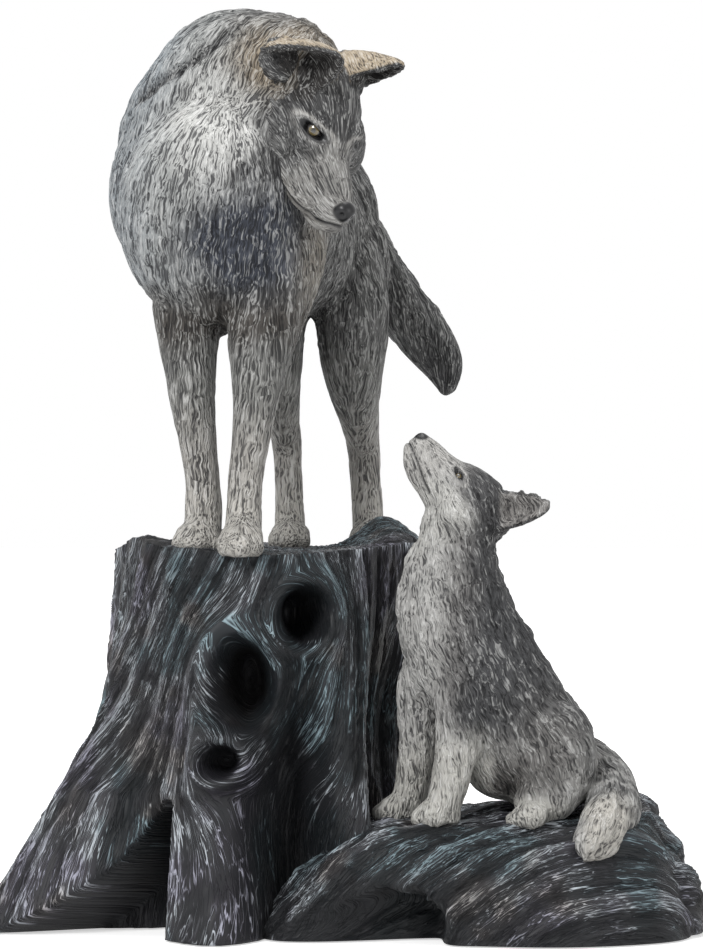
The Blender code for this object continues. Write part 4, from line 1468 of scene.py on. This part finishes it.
# Guide hairs in the head's frame: back from the nose, up over the brow and down the cheeks
HEAD_GUIDES = (
    ((14, 0, 5), (-0.9, 0, 0.5), 5),
    ((6, 6, 9), (-0.7, 0.5, 0.6), 6),
    ((6, -6, 9), (-0.7, -0.5, 0.6), 6),
    ((2, 12, -7), (-0.6, 0.4, -0.7), 8),
    ((2, -12, -7), (-0.6, -0.4, -0.7), 8),
)
head_sources = flow_sources([(head_axis(ADULT_HEAD_ROWS), -1)], HEAD_GUIDES)
head_way = flow_grid(points, head_sources, sag=0.10, wave=0.08)
head_way = laid_flat(points, normals, head_way, np.array((-0.3, 0, -0.1)))
bare = np.clip(face_dark * 1.6, 0, 1)
fur_depth = (0.13 + 0.34 * step(12, -4, points[:, 0])) * (1 - bare)
fur_depth = fur_depth * (1 - 0.6 * np.maximum(ear_in, ear_out))
carved, height, way = carve(pressed, normals, head_way, fur_depth, cell=1.0, reach=5.0)


def head_paint(p):
    """A wolf's mask: dark crown and bridge with painted shade in the bridge's furrow, paler cheeks, pale
    muzzle and chin, then the face.
    """
    x, y, z = p.T
    return layers_over((0.052, 0.052, 0.053), len(p), (
        ((0.12, 0.12, 0.118), step(3, -4, z) * step(20, 8, x)),
        ((0.22, 0.215, 0.205), step(13, 20, x)),
        ((0.30, 0.29, 0.27), step(-8, -12, z) * step(6, 14, x)),
        # The dark line down the bridge of the nose, painted shade of its furrow
        ((0.0416, 0.0416, 0.0424), bump(y, 1.2) * step(2, 12, x) * step(16, 10, x)),
        # The pale rings round the eyes and the throat
        ((0.42, 0.41, 0.39), face_pale * 0.85),
        ((0.16, 0.16, 0.158), step(3, -4, x) * step(-2, -7, z)),
        # The cream backs of the ears, painted shade in their cups, then mouth, nose and eye slits
        ((0.40, 0.33, 0.24), ear_out),
        ((0.020, 0.018, 0.017), ear_in),
        ((0.008, 0.008, 0.009), face_dark),
    ))


store_fur(head_mesh, head_paint(points), height, way @ HEAD_TURN.T, bare)
piece("adult_head", head_mesh, carved @ HEAD_TURN.T + HEAD_AT, FACE_FUR)
eyeballs("adult", ADULT_EYE, ADULT_EYE_RADIUS, iris=1.45, pupil=0.62, head_turn=HEAD_TURN, head_at=HEAD_AT)

# %% [markdown]
# ## The pup
#
# It sits on the rock with its tail round to the front and its muzzle up to the adult. The
# head is shaped in its own frame and joined to the same skin.

# %% Pup tables
# Rows and balls are as the adult's. A paw is (x, y, the way it points, width, length, height).
PUP_TORSO = (
    (56, -32, 4, 6, 6),
    (55, -33, 9, 12, 12),
    (51.5, -34, 19, 15, 14.5),
    (44, -35, 30, 14.5, 15.5),
    (35.5, -36, 41, 13.5, 17.0),
    (29, -37, 54, 13, 16.3),
    (27.3, -38, 66, 11.3, 14),
    (28.6, -38, 76, 9.8, 11.0),
    (30, -38, 84, 9, 10),
    (30, -38, 89, 6, 6),
)
PUP_LEGS = (
    # left fore, nearer the viewer, then right fore
    ((31, -39, 48, 8, 9), (30, -41.5, 38, 7.4, 8.6), (29.3, -44, 26, 5.6, 6.8), (27, -45, 14, 4.7, 5.2),
     (25, -45.5, 6, 4.7, 4.8), (24.5, -46, 1, 4.4, 4.6)),
    ((25, -35, 48, 8, 9), (21.5, -32, 38, 6.8, 8.6), (19, -30, 26, 5.2, 6.2), (17.2, -29.5, 14, 4.5, 4.9),
     (15.7, -29.5, 6, 4.6, 4.6), (14.7, -29.5, 1, 4.4, 4.6)),
)
PUP_HAUNCHES = (
    ((55.5, -44, 19), (10.5, 7.5, 15)),
    ((55.5, -23, 19), (10.5, 7.5, 15)),
    ((52, -46, 7), (8.5, 5.5, 6)),
    ((52, -21, 7), (8.5, 5.5, 6)),
    ((41, -35, 18), (11, 9, 11.5)),
)
PUP_PAWS = (
    (23.5, -46, (-1, -0.15), 10, 13, 8),
    (13.5, -29.5, (-1, -0.1), 10, 13, 8),
    (49.0, -50, (-1, -0.3), 9.4, 13, 7.4),
    (49.0, -18, (-1, 0.2), 9.4, 13, 7.4),
)
PUP_TAIL = (
    (58, -32, 19, 6.5, 6.5),
    (64.5, -31, 16, 6.6, 6.6),
    (69.5, -37, 10.5, 7, 7),
    (70.5, -46, 4.5, 7.4, 7),
    (67.5, -54, 0, 7.2, 6.6),
    (63, -60, -4, 5.2, 5),
    (61, -63, -6.5, 2, 2),
)
PUP_HEAD_ROWS = (
    (-12, 0, 6, 6),
    (-8, 0.4, 9.6, 9.2),
    (-2, 0, 11, 10.4),
    (3.5, -0.8, 9.8, 9.6),
    (8, -2.0, 7.4, 7.8),
    (12.5, -2.6, 5.8, 6.6),
    (17, -2.8, 4.9, 5.6),
    (20.4, -2.6, 3.8, 4.4),
    (22.4, -2.2, 2.0, 2.6),
)
PUP_HEAD_SIDES = (
    ((5.0, 5.8, 3.8), (3.4, 2.4, 2.2)),
    ((-1.0, 7.5, -3.0), (7, 5, 6.5)),
    ((14.0, 3.0, -4.0), (6, 2.6, 3.2)),
)
PUP_HEAD_MIDDLE = (((12, 0, -7.0), (8, 3.4, 2.8)), ((21.0, 0, -0.9), (2.3, 2.6, 2.1)))
PUP_EARS = (
    ((-5.5, -6.8, 5.6), (-11.5, -11.2, 18.8), (0.55, -1.0, 0.3), 10.5, 0.9),
    ((-5.5, 6.8, 5.6), (-11.5, 11.2, 18.8), (0.55, 1.0, 0.3), 10.5, 0.9),
)
PUP_EYE = np.array((7.2, 5.0, 1.6))
# The eyeball's radius, the radius that its slit is laid for, and the face's size beside the adult's
PUP_EYE_RADIUS = 1.6
PUP_SOCKET_RADIUS = 1.7
PUP_FACE = 0.6
PUP_MOUTH = ((8.0, -7.2), (12, -6.6), (17, -5.4), (22, -4.4))
PUP_NOSE = ((21.4, 0, -0.7), (2.4, 2.6, 2.1))
PUP_SINK = 0.5
PUP_BASE = np.array((0, 0, ROCK_HEIGHT - PUP_SINK))
PUP_HEAD_AT = np.array((31.0, -38, 87)) + PUP_BASE
PUP_HEAD_TURN = frame_of((-0.53, -0.08, 0.84), (0.845, 0.03, 0.53))

# %% Pup
shapes = [loft(PUP_TORSO, across=(0, 1, 0)), loft(PUP_TAIL, across=(0, 0, 1))]
shapes += [loft(rows, across=(0, 1, 0)) for rows in PUP_LEGS]
shapes += [ball(c, r) for c, r in PUP_HAUNCHES]
for x, y, toward, width, length, height in PUP_PAWS:
    shapes += paw(x, y, toward, width, length, height)
shapes = [moved(s, offset=PUP_BASE) for s in shapes]
shapes += [moved(s, PUP_HEAD_TURN, PUP_HEAD_AT)
           for s in head_shapes(PUP_HEAD_ROWS, PUP_HEAD_SIDES, PUP_HEAD_MIDDLE, PUP_EARS)]
pup_mesh = skin(shapes, PUP_CELLS)
points, normals = read_points(pup_mesh)
in_head = (points - PUP_HEAD_AT) @ PUP_HEAD_TURN
turned = normals @ PUP_HEAD_TURN
pressed, pup_dark, pup_pale = press_face(in_head, turned, PUP_EYE, PUP_SOCKET_RADIUS,
                                         PUP_MOUTH, PUP_NOSE, size=PUP_FACE)
on_head = step(32, 28, np.linalg.norm(in_head, axis=1))
pup_dark, pup_pale = pup_dark * on_head, pup_pale * on_head
pressed = points + (pressed @ PUP_HEAD_TURN.T + PUP_HEAD_AT - points) * on_head[:, None]
ear_out, ear_in = ear_sides(in_head, turned, PUP_EARS)

pup_sources = flow_sources([(PUP_TORSO[::-1], 1), (PUP_TAIL, 1)] + [(rows, 1) for rows in PUP_LEGS])
pup_sources[:, :3] += PUP_BASE
head_sources = flow_sources([(head_axis(PUP_HEAD_ROWS), -1)])
head_sources[:, :3] = head_sources[:, :3] @ PUP_HEAD_TURN.T + PUP_HEAD_AT
head_sources[:, 3:6] = head_sources[:, 3:6] @ PUP_HEAD_TURN.T
pup_way = flow_grid(points, np.vstack([pup_sources, head_sources]), sag=0.25, wave=0.34, lump=8.0)
pup_way = laid_flat(points, normals, pup_way, np.array((0.10, 0, -0.30)))
local = points - PUP_BASE
face = step(-4, 8, in_head[:, 0]) * on_head
fur_depth = 0.75 - 0.48 * step(34, 20, local[:, 2]) * step(62, 58, local[:, 0]) - 0.60 * face
bare = np.clip(pup_dark * 1.6, 0, 1)
fur_depth = np.clip(fur_depth, 0.06, 1) * (1 - bare) * (1 - 0.8 * np.maximum(ear_in, ear_out))
carved, height, way = carve(pressed.astype(np.float32), normals, pup_way, fur_depth, cell=1.2, reach=5.0)
height = calmed(height, 0.6 * face)

# %% [markdown]
# The pup is pale on its muzzle, throat, chest and legs. Its crown and back are dark, and
# its tail has faint bands. The paint is built up in layers as the adult's is.

# %% Pup paint


def pup_paint(p):
    """Pale muzzle, throat, chest and legs; dark crown, back and tail bands; then the face."""
    x, y, z = strayed(p, 1.6, 6.0, 81).T
    ahead, _, over = in_head.T
    near = step(30, 24, np.linalg.norm(in_head, axis=1))
    tail = step(60, 64, x) * step(26, 20, z)
    bands = 0.5 + 0.5 * np.sin((y * 0.9 + z * 0.6) * 1.1 + 2 * noise(p, 5.0, 91))
    return layers_over((0.45, 0.445, 0.43), len(p), (
        # The back, darker towards its middle, the flank, the belly in brown-grey darkened as painted shade
        # under the body, and the pale paws
        ((0.20, 0.195, 0.19), step(20, 30, x - 0.1 * (z - 60)) * step(20, 34, z)),
        ((0.055, 0.056, 0.059), step(26, 37, x - 0.10 * (z - 60)) * step(14, 30, z)),
        ((0.16, 0.155, 0.15), close_to(p, (53, -44, 19), (9, 20, 13)) * 1.2),
        ((0.10, 0.095, 0.09), close_to(p, (42, -36, 12), (10, 30, 9)) * 1.2),
        ((0.50, 0.49, 0.455), step(30, 14, z) * step(40, 34, x)),
        ((0.50, 0.49, 0.455), step(10, 5, z) * step(60, 54, x)),
        # The cheeks and throat, the crown and the muzzle
        ((0.50, 0.495, 0.47), near * step(3, -4, over + 0.3 * ahead - 1) * step(-7, 0, ahead)),
        ((0.060, 0.060, 0.062), near * step(-3, 3, over - 0.15 * ahead) * step(11, 3, ahead)),
        ((0.46, 0.45, 0.43), near * step(9, 14, ahead)),
        # The tail's bands and pale tip
        ((0.12, 0.12, 0.118), tail * (0.35 + 0.6 * bands)),
        ((0.50, 0.48, 0.44), tail * step(-50, -58, y)),
        # The rings round the eyes, the ears' backs and cups, then mouth, nose and eye slits
        ((0.55, 0.54, 0.52), pup_pale),
        ((0.060, 0.058, 0.056), ear_out),
        ((0.24, 0.23, 0.22), ear_in),
        ((0.010, 0.010, 0.011), pup_dark),
    ))


store_fur(pup_mesh, pup_paint(local), height, way, bare)
piece("pup", pup_mesh, carved, PUP_FUR)
eyeballs("pup", PUP_EYE, PUP_EYE_RADIUS, iris=0.8, pupil=0.35, head_turn=PUP_HEAD_TURN, head_at=PUP_HEAD_AT)

# %% [markdown]
# ## Floor, light and camera
#
# The floor is a white disc that catches the figurine's shadow. Far out it glows by itself,
# and the world behind it is white to the camera, so no horizon shows. Three soft lamps and
# a dim, even world light the figurine. The camera looks level along +Y from 1.2 m.

# %% Stage
# In metres, as the frame is: the floor's radius and drop, and where its own glow grows
FLOOR_RADIUS, FLOOR_DROP = 6.0, 0.0004
FLOOR_NEAR, FLOOR_FAR = 0.16, 0.60
FLOOR_GLOW = 0.55
WORLD_LIGHT = 0.30
VIEW_DISTANCE, VIEW_HEIGHT = 1.2, 0.1244
LENS, SENSOR = 162.6, 36.0


def seen_share(tree):
    """1 for what the camera sees, straight or in a reflection, and 0 for what lights the scene."""
    ray = tree.nodes.new("ShaderNodeLightPath").outputs
    return maths(tree, "MAXIMUM", ray["Is Camera Ray"], ray["Is Glossy Ray"])


def floor_material():
    """White to the camera: it glows by itself far out, and keeps the shadow near the figurine."""
    material, tree, shader = new_paint("white_floor", 0.9)
    shader.inputs["Base Color"].default_value = (0.8, 0.8, 0.8, 1)
    shader.inputs["Emission Color"].default_value = (1, 1, 1, 1)
    place = tree.nodes.new("ShaderNodeTexCoord").outputs["Object"]
    distance = vectors(tree, "LENGTH", place, output="Value")
    far = smooth_range(tree, distance, FLOOR_NEAR, FLOOR_FAR)
    glow = maths(tree, "ADD", maths(tree, "MULTIPLY", far, 1 - FLOOR_GLOW), FLOOR_GLOW)
    tree.links.new(maths(tree, "MULTIPLY", seen_share(tree), glow), shader.inputs["Emission Strength"])
    return material


def floor_disc():
    """A flat disc just below the figurine's underside."""
    turn = np.linspace(0, 2 * math.pi, 96, endpoint=False)
    rim = FLOOR_RADIUS * np.column_stack([np.cos(turn), np.sin(turn), 0 * turn]) - (0, 0, FLOOR_DROP)
    mesh = bpy.data.meshes.new("floor")
    mesh.from_pydata(rim.tolist(), [], [list(range(len(rim)))])
    mesh.materials.append(floor_material())
    made = bpy.data.objects.new("floor", mesh)
    bpy.context.scene.collection.objects.link(made)


def area_light(name, at, aim, size, power):
    """A soft square lamp at one place, turned to another."""
    light = bpy.data.lights.new(name, "AREA")
    light.size = size
    light.energy = power
    lamp = bpy.data.objects.new(name, light)
    lamp.location = at
    way = unit(np.array(aim, float) - np.array(at, float))
    lamp.rotation_euler = (math.acos(-way[2]), 0, math.atan2(-way[0], way[1]))
    bpy.context.scene.collection.objects.link(lamp)


floor_disc()
area_light("key", at=(-0.55, -0.9, 0.85), aim=(0, 0, 0.13), size=0.4, power=11.0)
area_light("fill", at=(0.9, -0.8, 0.35), aim=(0, 0, 0.12), size=0.6, power=3.0)
area_light("top", at=(0.0, 0.1, 1.1), aim=(0, 0, 0.1), size=0.6, power=5.0)

world = bpy.data.worlds.new("studio")
world.use_nodes = True
sky = world.node_tree.nodes["Background"]
sky.inputs["Color"].default_value = (1, 1, 1, 1)
shown = maths(world.node_tree, "MULTIPLY", seen_share(world.node_tree), 1 - WORLD_LIGHT)
world.node_tree.links.new(maths(world.node_tree, "ADD", shown, WORLD_LIGHT), sky.inputs["Strength"])
bpy.context.scene.world = world
bpy.context.scene.view_settings.view_transform = "Standard"

camera = bpy.data.cameras.new("camera")
camera.lens = LENS
camera.sensor_width = SENSOR
viewer = bpy.data.objects.new("camera", camera)
viewer.location = (0, -VIEW_DISTANCE, VIEW_HEIGHT)
viewer.rotation_euler = (math.pi / 2, 0, 0)
bpy.context.scene.collection.objects.link(viewer)
bpy.context.scene.camera = viewer
